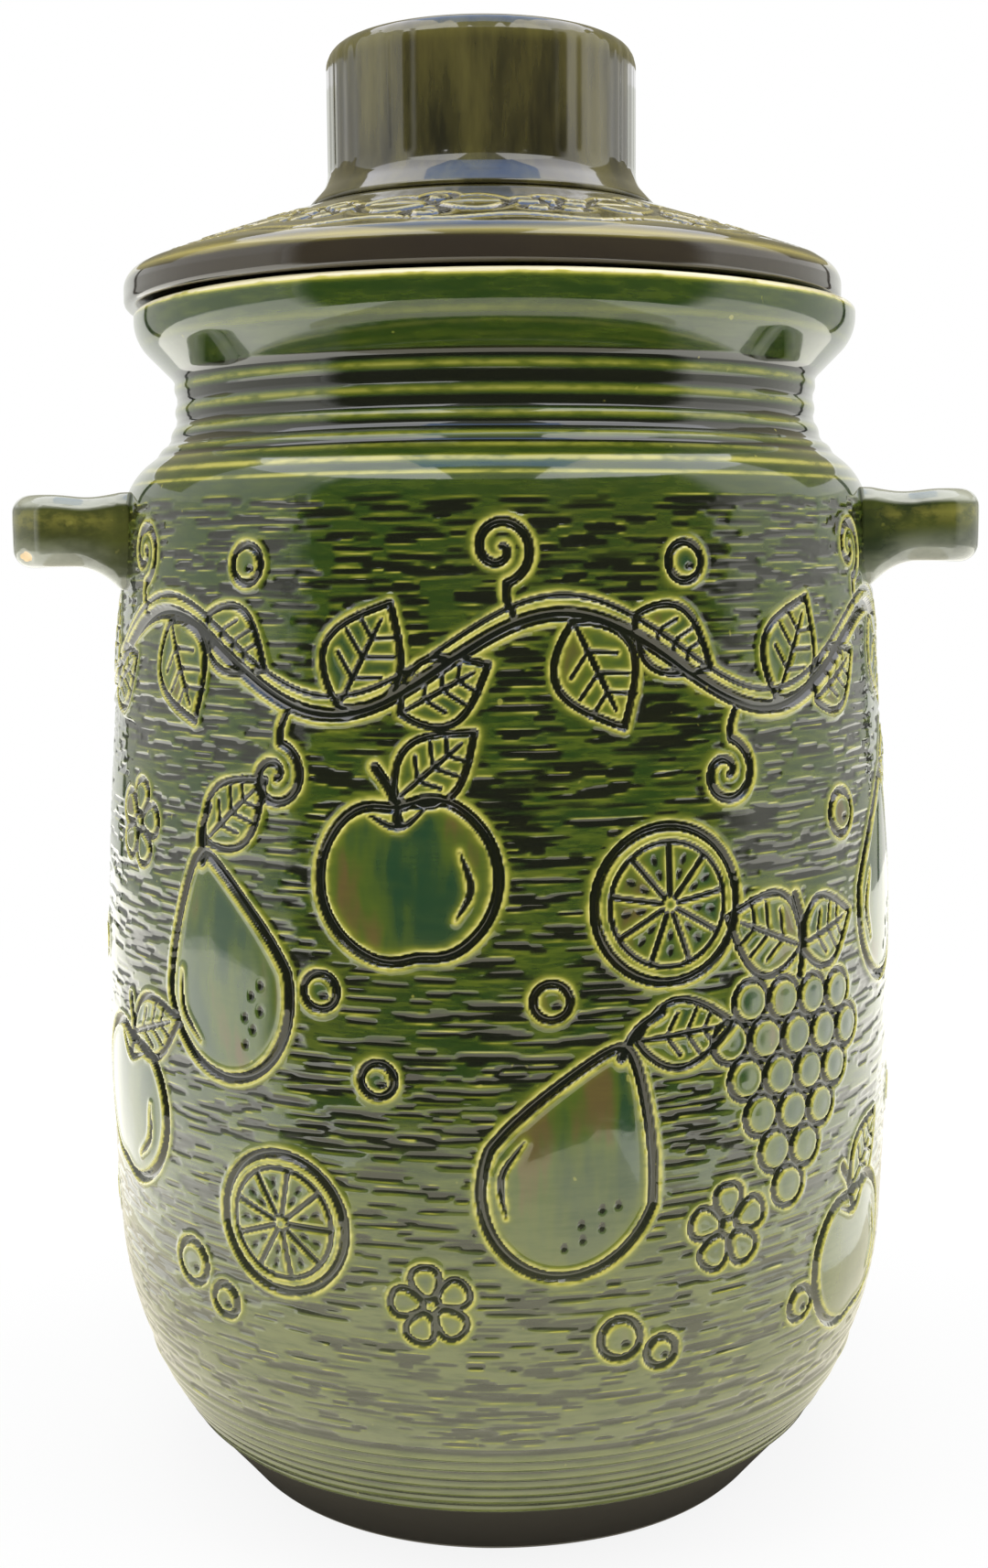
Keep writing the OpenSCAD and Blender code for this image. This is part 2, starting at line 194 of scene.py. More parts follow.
# Heights in metres between which the glaze darkens upward, and between which painted light of the white table
# makes it paler downward
DARK_Z = (0.185, 0.215)
PAINTED_TABLE_LIGHT_Z = (0.112, 0.055)

# Gloss of the glaze
GLAZE_IOR = 1.60
COAT_IOR = 1.60
COAT_ROUGHNESS = 0.03
BUMP_DISTANCE = 0.0004

# Light: strength of the surroundings on the object, and the lamps in watts
WORLD_LIGHT = 0.55
PANEL_W = 15.0
TOP_W = 10.0
FRONT_W = 12.0
FLOOR_SHOWN = 0.85
FLOOR_COLOUR = (0.86, 0.86, 0.86)
FLOOR_FADE = (0.14, 0.75)
FLOOR_HALF = 6.0
GROUND_Z = -0.0002

# Heights in metres of the sheets that the glaze mirrors: the ceiling and what lies on the table
CEILING_Z = 1.3
TABLE_Z = 0.0004
SIDE_TABLE_Z = 0.0007
SHADE_Z = 0.0008

# Camera: the photograph's frame is 1080 x 1714 pixels, and the focal length is given in its pixels
FRAME_H_PX = 1714.0
FOCAL_PX = 2086.0
SENSOR_MM = 36.0
CAMERA_X = -0.0008
CAMERA_AWAY = 0.455
CAMERA_Z = 0.215
CAMERA_DOWN_DEG = 6.93
CAMERA_ROLL_DEG = -0.42


# Outlines

def rounded(a, b, c, radius, step):
    """Points of the arc that rounds the corner b between a and c."""
    a, b, c = (np.array(p, float) for p in (a, b, c))
    u = (a - b) / np.linalg.norm(a - b)
    v = (c - b) / np.linalg.norm(c - b)
    half = math.acos(max(-1.0, min(1.0, float(u @ v)))) / 2
    p = b + u * radius / math.tan(half)
    q = b + v * radius / math.tan(half)
    w = (u + v) / np.linalg.norm(u + v)
    middle = b + w * radius / math.sin(half)
    start = math.atan2(*(p - middle)[::-1])
    sweep = math.atan2(*(q - middle)[::-1]) - start
    sweep = (sweep + math.pi) % (2 * math.pi) - math.pi
    n = max(3, int(abs(sweep) * radius / step) + 1)
    turns = start + sweep * np.linspace(0, 1, n + 1)
    return [middle + radius * np.array([math.cos(t), math.sin(t)]) for t in turns]


def outline(corners, step):
    """An open outline through corners given as (radius, height, rounding)."""
    points = [np.array(corners[0][:2], float)]
    for before, here, after in zip(corners, corners[1:], corners[2:]):
        if here[2]:
            points += rounded(before[:2], here[:2], after[:2], here[2], step)
        else:
            points.append(np.array(here[:2], float))
    points.append(np.array(corners[-1][:2], float))
    return np.array(points)


def way_along(points):
    """Way along an outline up to each of its points."""
    return np.concatenate([[0], np.cumsum(np.linalg.norm(np.diff(points, axis=0), axis=1))])


def resample(points, step):
    """The same outline with points about step apart."""
    s = way_along(points)
    keep = np.concatenate([[True], np.diff(s) > 1e-9])
    s, points = s[keep], points[keep]
    n = max(2, int(round(s[-1] / step)))
    t = np.linspace(0, s[-1], n + 1)
    return np.stack([np.interp(t, s, points[:, 0]), np.interp(t, s, points[:, 1])], 1)


def normals(points):
    """Unit normals to the right of a path: outward for a wall that climbs."""
    way = np.gradient(points, axis=0)
    way /= np.linalg.norm(way, axis=1)[:, None]
    return np.stack([way[:, 1], -way[:, 0]], 1)


def band(values, middle, width):
    """A soft band round the middle: 1 there, 0 well away from it."""
    return np.exp(-((values - middle) / width) ** 2)


def below(values, limit, steep):
    """A soft step: 1 well below the limit, 0 well above it."""
    return 1 / (1 + np.exp(np.clip((values - limit) * steep, -20, 20)))


# Relief of the pot: a height field over the unrolled wall, u round it and v up along it

def to_segment(uu, vv, a, b):
    """For each place, the share of the way from a to b that lies nearest, and the distance to it."""
    way = b - a
    t = np.clip(((uu - a[0]) * way[0] + (vv - a[1]) * way[1]) / max(way @ way, 1e-9), 0, 1)
    return t, np.hypot(uu - a[0] - t * way[0], vv - a[1] - t * way[1])


def lift(layer, at, values):
    """Raise a layer to the values where it is lower."""
    layer[at] = np.maximum(layer[at], values)


class Relief:
    """Heights in mm over a regular grid, with masks for the glaze."""

    def __init__(self, v_low, v_high, rows, unroll_r=UNROLL_R, bold=1.0):
        self.bold = bold
        self.girth = 2 * math.pi * unroll_r
        self.v = np.linspace(v_low, v_high, rows)
        layers = np.zeros((7, rows, AROUND))
        self.ground, self.ridge, self.island, self.calm, self.groove, self.lip, self.halo = layers

    def window(self, low_u, high_u, low_v, high_v):
        """Index and coordinates of a window, which may wrap round the back; empty off the grid."""
        du = self.girth / AROUND
        dv = self.v[1] - self.v[0]
        first = int(math.floor((low_u + self.girth / 2) / du))
        last = int(math.ceil((high_u + self.girth / 2) / du))
        cols = np.arange(first, last + 1)
        rows = np.arange(max(0, int((low_v - self.v[0]) / dv)),
                         min(len(self.v), int((high_v - self.v[0]) / dv) + 2))
        uu, vv = np.meshgrid(cols * du - self.girth / 2, self.v[rows])
        return np.ix_(rows, cols % AROUND), uu, vv

    def stroke(self, points, width=2.2, depth=0.9, lip=0.3, taper=0.0, calm=1.5):
        """An incised line with a thin raised edge on both sides."""
        points = np.array(points, float)
        width = width * self.bold
        reach = width / 2 + 4.5
        n = len(points) - 1
        for i, (a, b) in enumerate(zip(points, points[1:])):
            low, high = np.minimum(a, b) - reach, np.maximum(a, b) + reach
            at, uu, vv = self.window(low[0], high[0], low[1], high[1])
            t, d = to_segment(uu, vv, a, b)
            thin = 1 - taper * np.abs(2 * (i + t) / n - 1) ** 2
            w = width * thin / 2
            lift(self.groove, at, depth * thin * np.clip(1 - (d / w) ** 2, 0, 1))
            lift(self.lip, at, lip * band(d, w + 0.4, 0.6))
            lift(self.halo, at, np.exp(-np.clip(d - w, 0, None) / (0.35 + 0.32 * width)))
            lift(self.calm, at, np.clip((w + calm - d) / 0.8, 0, 1))

    def fill(self, points, height=0.7, soft=5.0):
        """A smooth raised island inside a closed outline."""
        points = np.array(points, float)
        low, high = points.min(0), points.max(0)
        at, uu, vv = self.window(low[0], high[0], low[1], high[1])
        inside = np.zeros(uu.shape, bool)
        near = np.full(uu.shape, 1e9)
        for a, b in zip(points, np.roll(points, -1, 0)):
            crosses = (a[1] > vv) != (b[1] > vv)
            with np.errstate(divide="ignore", invalid="ignore"):
                x = (b[0] - a[0]) * (vv - a[1]) / (b[1] - a[1]) + a[0]
            inside ^= crosses & (uu < x)
            near = np.minimum(near, to_segment(uu, vv, a, b)[1])
        lift(self.island, at, np.where(inside, height * (1 - np.exp(-near / soft)), 0))
        lift(self.calm, at, inside.astype(float))

    def dimple(self, x, y, rx=0.9, ry=1.4, depth=0.6, turn=0.0):
        """A small pressed mark."""
        r = max(rx, ry) * 1.8
        at, uu, vv = self.window(x - r, x + r, y - r, y + r)
        c, s = math.cos(turn), math.sin(turn)
        p = (uu - x) * c + (vv - y) * s
        q = -(uu - x) * s + (vv - y) * c
        lift(self.groove, at, depth * np.clip(1 - (p / rx) ** 2 - (q / ry) ** 2, 0, 1))

    def dashes(self, low, high, count):
        """The scratched ground: short level strokes all round."""
        u = RNG.uniform(-self.girth / 2, self.girth / 2, count)
        v = RNG.uniform(low, high, count)
        length = RNG.uniform(1.6, 7.5, count)
        width = RNG.uniform(0.38, 0.78, count)
        deep = RNG.uniform(0.3, 1.0, count)
        slope = RNG.normal(0, 0.03, count)
        for k in range(count):
            reach = width[k] + 1.2
            at, uu, vv = self.window(u[k] - length[k], u[k] + length[k], v[k] - reach, v[k] + reach)
            p = (uu - u[k]) / length[k]
            q = (vv - v[k] - slope[k] * (uu - u[k])) / width[k]
            along = deep[k] * np.clip(1 - p ** 4, 0, 1)
            lift(self.ground, at, along * np.clip(1 - q ** 2, 0, 1))
            lift(self.ridge, at, along * band(np.abs(q), 1.35, 0.4))

    def height(self):
        """Height of the surface over the plain wall."""
        ground = GROUND_DEPTH * self.ground * (1 - self.calm)
        return self.island + self.lip * (self.groove <= 0.05) - ground - self.groove


def curve(controls, n=14):
    """A smooth line through the controls."""
    p = np.array(controls, float)
    p = np.vstack([2 * p[0] - p[1], p, 2 * p[-1] - p[-2]])
    out = []
    for i in range(1, len(p) - 2):
        for t in np.linspace(0, 1, n, endpoint=False):
            a, b, c, d = p[i - 1:i + 3]
            out.append(0.5 * (2 * b + (c - a) * t + (2 * a - 5 * b + 4 * c - d) * t ** 2
                              + (3 * b - a - 3 * c + d) * t ** 3))
    out.append(p[-2])
    return np.array(out)


def placed(points, x, y, size=1.0, turn=0.0):
    """Points scaled, turned by degrees and moved."""
    c, s = math.cos(math.radians(turn)), math.sin(math.radians(turn))
    p = np.array(points, float) * size
    return np.stack([x + p[:, 0] * c - p[:, 1] * s, y + p[:, 0] * s + p[:, 1] * c], 1)


def ring(r, n=40):
    """A closed circle of points."""
    t = np.linspace(0, 2 * math.pi, n + 1)
    return np.stack([r * np.cos(t), r * np.sin(t)], 1)


def leaf(relief, x, y, size, turn, width=0.34, veins=(0.28, 0.48, 0.66)):
    """A pointed leaf with a midrib and side veins, its stalk at x, y."""
    t = np.linspace(0, 1, 16)
    half = width * np.sin(math.pi * t ** 0.85) * (1 - 0.15 * t)
    right = np.stack([half, t], 1)
    left = np.stack([-half[::-1], t[::-1]], 1)
    edge = placed(np.vstack([right, left]), x, y, size, turn)
    relief.fill(edge, 0.45, 3.0)
    relief.stroke(edge, 1.7, 0.75)
    relief.stroke(placed([(0, 0), (0, 0.84)], x, y, size, turn), 1.4, 0.7, taper=0.4)
    for k in veins:
        reach = width * (0.62 - 0.25 * abs(k - 0.45))
        for side in (-1, 1):
            relief.stroke(placed([(0, k), (side * reach, k + 0.13)], x, y, size, turn), 1.0, 0.5, 0.15)


def pear(relief, x, y, size, turn):
    """A pear with its stalk, a leaf and marks on the shaded cheek."""
    t = np.linspace(0, 2 * math.pi, 61)
    r = 0.5 * (1 - 0.28 * np.sin(t) ** 3 * (np.sin(t) > 0))
    upper = np.clip(np.sin(t), 0, 1)
    body = np.stack([r * np.cos(t) * (1 - 0.30 * upper), 0.58 * np.sin(t) + 0.22 * upper ** 2], 1)
    edge = placed(body, x, y, size, turn)
    stalk = curve([(0, 0.74), (0.03, 0.92), (0.13, 1.06)])
    cheek = curve([(-0.34, 0.12), (-0.38, -0.12), (-0.27, -0.33)])
    relief.fill(edge)
    relief.stroke(edge, FRUIT_LINE_W, FRUIT_LINE_DEPTH)
    relief.stroke(placed(stalk, x, y, size, turn), 2.2, 0.9)
    relief.stroke(placed(cheek, x, y, size, turn), 1.5, 0.6, taper=0.7)
    for px, py in ((0.18, -0.30), (0.26, -0.20), (0.30, -0.05), (0.10, -0.38), (0.22, -0.10), (0.14, -0.22)):
        spot = placed([(px, py)], x, y, size, turn)[0]
        relief.dimple(spot[0], spot[1], 0.8, 1.2)
    tip = placed([(0.05, 0.86)], x, y, size, turn)[0]
    leaf(relief, tip[0], tip[1], size * 0.62, turn - 64)


def apple(relief, x, y, size, turn):
    """An apple with a dip at the stalk and a leaf."""
    t = np.linspace(0, 2 * math.pi, 61)
    r = 0.5 * (1 - 0.17 * band(t, math.pi / 2, 0.34) - 0.09 * band(t, 1.5 * math.pi, 0.26))
    edge = placed(np.stack([r * np.cos(t) * 1.06, r * np.sin(t)], 1), x, y, size, turn)
    dip = curve([(-0.17, 0.39), (0.0, 0.30), (0.17, 0.39)])
    stalk = curve([(0, 0.32), (-0.02, 0.50), (-0.10, 0.66)])
    cheek = curve([(0.33, 0.12), (0.36, -0.10), (0.25, -0.27)])
    relief.fill(edge)
    relief.stroke(edge, FRUIT_LINE_W, FRUIT_LINE_DEPTH)
    relief.stroke(placed(dip, x, y, size, turn), 1.5, 0.7, taper=0.6)
    relief.stroke(placed(stalk, x, y, size, turn), 2.2, 0.9)
    relief.stroke(placed(cheek, x, y, size, turn), 1.6, 0.6, taper=0.7)
    tip = placed([(0.0, 0.46)], x, y, size, turn)[0]
    leaf(relief, tip[0], tip[1], size * 0.60, turn - 58)


def grapes(relief, x, y, size, turn):
    """A hanging bunch of round berries under a stalk and two leaves."""
    step = 0.205
    for row, many in enumerate((4, 5, 4, 3, 2, 1)):
        for k in range(many):
            px = (k - (many - 1) / 2) * step * 1.02
            py = 0.26 - row * step * 0.88
            berry = placed(ring(step * 0.49 * size, 22), *placed([(px, py)], x, y, size, turn)[0])
            relief.fill(berry, 0.6, 2.2)
            relief.stroke(berry, 1.5, 0.8, 0.2)
    relief.stroke(placed(curve([(0, 0.36), (0.02, 0.56), (-0.05, 0.74)]), x, y, size, turn), 2.2, 0.9)
    for side, reach in ((-1, 0.5), (1, 0.44)):
        tip = placed([(0, 0.50)], x, y, size, turn)[0]
        leaf(relief, tip[0], tip[1], size * reach, turn - side * 72, 0.42)


def slice_round(relief, x, y, size, turn):
    """A round citrus slice with its segments."""
    edge = placed(ring(0.5 * size), x, y)
    relief.fill(edge, 0.45, 3.0)
    relief.stroke(edge, 2.2, 0.95)
    inner = placed(ring(0.40 * size), x, y)
    relief.stroke(inner, 1.2, 0.6, 0.15)
    for k in range(9):
        a = math.radians(turn + 40 * k)
        far = (x + 0.40 * size * math.cos(a), y + 0.40 * size * math.sin(a))
        near = (x + 0.06 * size * math.cos(a), y + 0.06 * size * math.sin(a))
        relief.stroke([near, far], 1.3, 0.6, 0.2)
        b = a + math.radians(20)
        for reach in (0.20, 0.30):
            pip = (x + reach * size * math.cos(b), y + reach * size * math.sin(b))
            relief.dimple(*pip, 0.7, 1.3, 0.5, b + math.pi / 2)


def blossom(relief, x, y, size, turn):
    """A five-petalled blossom."""
    for k in range(5):
        a = math.radians(turn + 72 * k)
        t = np.linspace(0, 2 * math.pi, 23)
        petal = np.stack([0.29 + 0.20 * np.cos(t), 0.165 * np.sin(t) * (1 + 0.35 * np.cos(t))], 1)
        edge = placed(petal, x, y, size, math.degrees(a))
        relief.fill(edge, 0.5, 2.0)
        relief.stroke(edge, 1.5, 0.75, 0.25)
    core = placed(ring(0.11 * size, 20), x, y)
    relief.fill(core, 0.5, 1.5)
    relief.stroke(core, 1.4, 0.7, 0.2)


def berry(relief, x, y, r):
    """A round berry with a dimple."""
    edge = placed(ring(r, 28), x, y)
    relief.fill(edge, 0.6, 2.5)
    relief.stroke(edge, 1.9, 0.85)
    relief.dimple(x + 0.25 * r, y - 0.25 * r, 1.2, 0.8, 0.7)


def tendril(relief, x, y, size, turn, hand=1):
    """A spiral tendril."""
    t = np.linspace(0, 1, 44)
    a = hand * t * 2.6 * math.pi
    r = 0.30 * (1 - t) ** 0.8 + 0.03
    pts = np.stack([r * np.sin(a + math.pi), 0.62 + r * np.cos(a + math.pi)], 1)
    stem = curve([(0, 0), (0.03 * hand, 0.16), tuple(pts[0])], 6)
    relief.stroke(placed(np.vstack([stem, pts]), x, y, size, turn), 2.2, 0.9, taper=0.25)


def vine(relief, low, high):
    """A leafy runner that winds round the upper wall."""
    waves = 6
    middle = (low + high) / 2
    swing = (high - low) * 0.20

    def course(u):
        return middle + swing * np.sin(2 * math.pi * waves * (u / GIRTH) + 0.7)

    u = np.linspace(-GIRTH / 2, GIRTH / 2, 260)
    relief.stroke(np.stack([u, course(u)], 1), 3.2, 1.1, 0.4)
    relief.stroke(np.stack([u, course(u) + 3.6], 1), 1.3, 0.6, 0.2)
    for k in range(waves * 2):
        x = -GIRTH / 2 + (k + 0.32) * GIRTH / (2 * waves)
        y = course(x)
        up = 1 if k % 2 else -1
        leaf(relief, x, y + up * 1.5, 23, (-28 if up > 0 else 206), 0.40)
        leaf(relief, x + 13, y + up * 0.5, 20, (-62 if up > 0 else 238), 0.36)
        tendril(relief, x - 12, y, 21, (12 if up < 0 else 168), up)
        if up < 0:
            berry(relief, x + 24.5, middle + (high - low) * 0.40, 3.8)


def ornament(relief):
    """Fruit and berries strewn round the belly, in a set that repeats after half a turn."""
    strewn = [
        (apple, -18, 152, 34, 8), (pear, -60, 128, 34, 14), (slice_round, 34, 146, 31, 10),
        (grapes, 66, 112, 44, -4), (blossom, -92, 158, 19, 8), (apple, -98, 96, 35, -14),
        (pear, 14, 92, 35, -22), (blossom, 48, 78, 19, 20), (slice_round, -46, 80, 29, 0),
        (apple, 92, 62, 33, 12), (pear, 108, 140, 33, -10), (blossom, -14, 66, 17, 30),
    ]
    berries = [
        (-36, 129, 3.6), (10, 128, 3.6), (84, 160, 4.6), (-24, 112, 3.4), (-72, 66, 4.6), (-62, 60, 3.4),
        (24, 58, 4.2), (33, 54, 3.2), (70, 56, 3.6), (-122, 128, 4.2), (126, 90, 4.4), (-128, 66, 4.0),
    ]
    for shift in (0, GIRTH / 2):
        for kind, x, y, size, turn in strewn:
            kind(relief, x + shift, y, size, turn)
        for x, y, r in berries:
            berry(relief, x + shift, y, r)


# Meshes

def add_object(name, data):
    """A new object in the scene."""
    obj = bpy.data.objects.new(name, data)
    bpy.context.scene.collection.objects.link(obj)
    return obj


def plain_mesh(name, verts, faces):
    """A mesh from points in metres and faces."""
    mesh = bpy.data.meshes.new(name)
    mesh.from_pydata(verts, [], faces)
    return mesh


def write_marks(mesh, marks):
    """Float attributes that the materials read."""
    for key, values in marks.items():
        layer = mesh.attributes.new(key, "FLOAT", "POINT")
        layer.data.foreach_set("value", np.asarray(values, np.float32).ravel())


def shade_smooth(obj):
    obj.data.polygons.foreach_set("use_smooth", [True] * len(obj.data.polygons))


def lathe(name, rows, around, centre_x, marks, closed=False):
    """A closed mesh of rings.

    rows is (n, around, 2) of radius and height in mm. It runs once round the section where closed is
    set; otherwise its first and last ring get a cap."""
    if closed and np.allclose(rows[0], rows[-1]):
        rows = rows[:-1]
    n = rows.shape[0]
    turn = np.arange(around) / around * 2 * math.pi - 1.5 * math.pi
    xyz = np.empty((n, around, 3))
    xyz[:, :, 0] = rows[:, :, 0] * np.cos(turn) + centre_x
    xyz[:, :, 1] = rows[:, :, 0] * np.sin(turn)
    xyz[:, :, 2] = rows[:, :, 1]
    i = np.arange(n if closed else n - 1)[:, None]
    a, b = i * around, (i + 1) % n * around
    j = np.arange(around)[None, :]
    k = (j + 1) % around
    faces = np.stack([a + j, a + k, b + k, b + j], 2).reshape(-1, 4)
    mesh = bpy.data.meshes.new(name)
    mesh.vertices.add(n * around)
    mesh.vertices.foreach_set("co", (xyz.reshape(-1, 3) * MM).ravel())
    caps = []
    if not closed:
        caps = [list(range(around))[::-1], list(range((n - 1) * around, n * around))]
    flat = faces.ravel().tolist()
    totals = [4] * len(faces)
    for cap in caps:
        flat += cap
        totals.append(len(cap))
    mesh.loops.add(len(flat))
    mesh.loops.foreach_set("vertex_index", flat)
    mesh.polygons.add(len(totals))
    starts = np.concatenate([[0], np.cumsum(totals)[:-1]]).astype(int)
    mesh.polygons.foreach_set("loop_start", starts.tolist())
    mesh.polygons.foreach_set("loop_total", totals)
    mesh.update(calc_edges=True)
    mesh.validate()
    write_marks(mesh, {key: values[:n] for key, values in marks.items()})
    obj = add_object(name, mesh)
    shade_smooth(obj)
    return obj


def spun(profile, around=AROUND):
    """A profile's points or values, repeated at every step of the turn."""
    return np.repeat(profile[:, None], around, 1)


def raised(profile, height):
    """Rings of a profile, moved along its normals by the height at each step of the turn."""
    out = normals(profile)
    rows = spun(profile)
    rows[:, :, 0] += out[:, None, 0] * height
    rows[:, :, 1] += out[:, None, 1] * height
    return rows


def bumps(s, starts, half):
    """Round ridges along s, each half wide on both sides of its start."""
    out = np.zeros_like(s)
    for start in starts:
        out = np.maximum(out, np.cos(np.clip((s - start) / half, -1, 1) * math.pi / 2))
    return out


def pot_sections():
    """The pot's outline in three runs: under the bottom, up the wall with its relief, and down the inside."""
    stand_r = FOOT_R - 0.8
    lip_r = RIM_R - 3
    recess_r = FOOT_R - FOOT_RING_W
    under = np.array([(0.5, RECESS_H), (recess_r, RECESS_H), (recess_r, 0), (stand_r, 0)])
    wall = outline([
        (stand_r, 0, 0), (FOOT_R, 0.8, 0), (FOOT_R + 3.8, 5.5, 9), (BASE_R, BASE_Z, 3),
        (LOW_R, BASE_CORNER_Z, BASE_ROUND_R), (CORNER_R, BELLY_Z, BELLY_BULGE_R),
        (SHOULDER_R, SHOULDER_Z, SHOULDER_ROUND_R), (NECK_R, NECK_LOW_Z, HOLLOW_R),
        (NECK_R, NECK_TOP_Z, 5), (RIM_R, RIM_LOW_Z, 10), (RIM_R, RIM_TOP_Z, 1.1), (lip_r, RIM_TOP_Z, 0)], 0.4)
    inside = outline([
        (lip_r, RIM_TOP_Z, 0), (MOUTH_R + 1.5, RIM_TOP_Z, 1.6), (MOUTH_R, RIM_TOP_Z - 6, 4),
        (MOUTH_R, NECK_LOW_Z - 3, HOLLOW_R), (SHOULDER_R - WALL, SHOULDER_Z - 3, 7.5),
        (CORNER_R - WALL, BELLY_Z, BELLY_BULGE_R), (LOW_R - WALL, BASE_CORNER_Z + 3, 61),
        (FOOT_R, FLOOR_Z, 22), (0.5, FLOOR_Z, 0)], 2.0)
    return resample(under, INNER_STEP * 2), resample(wall, RELIEF_STEP), resample(inside, INNER_STEP)


def make_pot():
    """The vessel with its relief, and marks for where the glaze pools, runs thin or ends."""
    under, wall, inside = pot_sections()
    radius, z = wall.T
    s = way_along(wall)
    v = s - np.interp(BELLY_Z, z, s) + BELLY_Z

    def v_at(level):
        return float(np.interp(level, z, v))

    relief = Relief(v[0], v[-1], len(v))
    relief.dashes(*GROUND_V, DASHES)
    vine(relief, *VINE_V)
    ornament(relief)
    bare = 1 - relief.calm
    scratched = np.clip(relief.ground * bare, 0, 1)
    pooled = np.clip(relief.groove / 0.45, 0, 1)
    banks = relief.ridge * bare * np.clip(1 - 3 * relief.ground, 0, 1)
    edged = np.maximum(relief.halo * (1 - pooled), 0.78 * banks)
    pooled = np.maximum(pooled, 0.9 * np.clip(scratched * 1.4, 0, 1))

    base_from = v_at(BASE_Z)
    neck_from = v_at(HOLLOW_TOP_Z) - 2 * NECK_RING_PITCH
    base_rings = bumps(v, [base_from + 1.6 + BASE_RING_PITCH * k for k in range(BASE_RINGS)], 1.45)
    neck_rings = bumps(v, [neck_from + NECK_RING_PITCH * k for k in range(NECK_RINGS)], 1.7)
    ringed = np.maximum(base_rings, neck_rings)
    in_base = (v > base_from + 0.6) & (v < base_from + 21.5)
    in_neck = (v > neck_from - 2.2) & (v < neck_from + 18.5)
    pooled = np.maximum(pooled, ((0.75 * in_base + 0.95 * in_neck) * (1 - ringed) ** 2)[:, None])
    edged = np.maximum(edged, ((0.30 * in_base + 0.55 * in_neck) * ringed ** 3)[:, None])

    # Pale lines on the rim's rounded top and round the shoulder's brow: thin glaze on these edges, and partly
    # painted highlights
    lip = 1.6 * band(z, RIM_TOP_Z - 0.3, 1.1) * (radius > RIM_R - 2.4)
    crease = 0.35 * band(v, v_at(RIM_LOW_Z - 1.5), 1.0)
    brow_at = v_at(SHOULDER_Z + 2.2)
    brow = 0.80 * band(v, brow_at, 1.0)
    brow += 0.55 * band(v, brow_at + 4.0, 1.1) + 0.75 * band(v, brow_at - 3.4, 0.55)
    edged = np.maximum(edged, np.maximum(np.maximum(lip, crease), brow)[:, None])

    turn = np.linspace(0, 2 * math.pi, AROUND, endpoint=False)[None, :]
    v_rows = v[:, None]
    wander = 0.10 * np.sin(turn * 3 + v_rows * 0.021) + 0.06 * np.sin(turn * 7 + 1.3 + v_rows * 0.05)
    ring_height = (RING_OUT * ringed)[:, None] * (0.9 + 0.1 * np.sin(turn * 5 + v_rows))
    rows = raised(wall, relief.height() + ring_height + wander)
    rows[:, :, 1] = np.maximum(rows[:, :, 1], 0)

    before, after = spun(under[:-1]), spun(inside[1:])
    none_before, none_after = (np.zeros(part.shape[:2]) for part in (before, after))
    foot = spun(below(z, BASE_Z + 0.4, 3.0))
    marks = {
        "pool": np.vstack([none_before, pooled, none_after]),
        "edge": np.vstack([none_before, edged, none_after]),
        "foot": np.vstack([none_before + 1, foot, none_after]),
        "smooth": np.vstack([none_before, relief.calm, none_after]),
        "inner": np.vstack([none_before, np.zeros_like(foot), none_after + 1]),
    }
    return lathe("stoneware_pot", np.vstack([before, rows, after]), AROUND, 0.0, marks)


def lid_sections():
    """The lid's outline: its top from the seat to the land under the knob, and back along the underside."""
    land_r = LAND_R - 1
    ring_low_z = SEAT_Z - FLANGE_H
    top = outline([
        (FLANGE_R, SEAT_Z, 0), (SEAT_OUT_R, SEAT_Z, 0), (SEAT_OUT_R + 2, LID_LOW_Z, 0),
        (LID_R, LID_LOW_Z, 1.4), (LID_R, LID_TOP_Z, 4.6), (LAND_R + 1.5, LAND_Z - 0.6, 3),
        (land_r, LAND_Z, 0)], 0.5)
    low = outline([
        (land_r, LAND_Z, 0), (CROWN_R, LAND_Z, 0), (CROWN_R, LAND_Z - 6, 1),
        (FLANGE_IN_R, LID_TOP_Z - 2, 3), (FLANGE_IN_R, ring_low_z, 1.2), (FLANGE_R, ring_low_z, 1.2),
        (FLANGE_R, SEAT_Z, 0)], 1.0)
    return resample(top, 0.7), resample(low, 2.0)


def make_lid():
    """The lid with a wreath of blossoms, leaves and berries over a wavy line."""
    top, low = lid_sections()
    s = way_along(top)
    edge_at = s[int(np.argmax(top[:, 0] > LID_R - 0.3))]
    relief = Relief(0, s[-1], len(s), LID_UNROLL_R, LID_BOLD)
    middle = edge_at + LID_FLOWER_IN
    pitch = relief.girth / LID_FLOWERS
    for k in range(LID_FLOWERS):
        x = -relief.girth / 2 + (k + 0.3) * pitch
        blossom(relief, x, middle, 17, 12)
        for hand in (-1, 1):
            leaf(relief, x + hand * 8.5, middle + 1, 16.5, -hand * 93, 0.50, ())
        for rise in (-8.5, 8.0):
            berry(relief, x + pitch / 2, middle + rise, 3.6)
    u = np.linspace(-relief.girth / 2, relief.girth / 2, 240)
    wave = 2.0 * np.sin(2 * math.pi * 2 * LID_FLOWERS * (u / relief.girth))
    relief.stroke(np.stack([u, edge_at + LID_WAVE_IN + wave], 1), 1.8, 0.6)
    pooled = np.clip(relief.groove / 0.6, 0, 1)
    edged = relief.halo * (1 - pooled)
    # A gold line along the lid's upper rounded edge: thin glaze there, and partly a painted highlight
    edged = np.maximum(edged, (0.62 * band(s, edge_at + LID_LINE_IN, 0.9))[:, None])
    under = spun(low[1:])
    blank = np.zeros(under.shape[:2])
    marks = {
        "pool": np.vstack([pooled, blank]),
        "edge": np.vstack([edged, blank]),
        "rim": np.vstack([spun(below(s, edge_at + LID_BAND_IN, 3.5)), blank + 1]),
    }
    rows = np.vstack([raised(top, relief.height() * LID_RELIEF), under])
    return lathe("stoneware_lid", rows, AROUND, -LID_SHIFT, marks, closed=True)


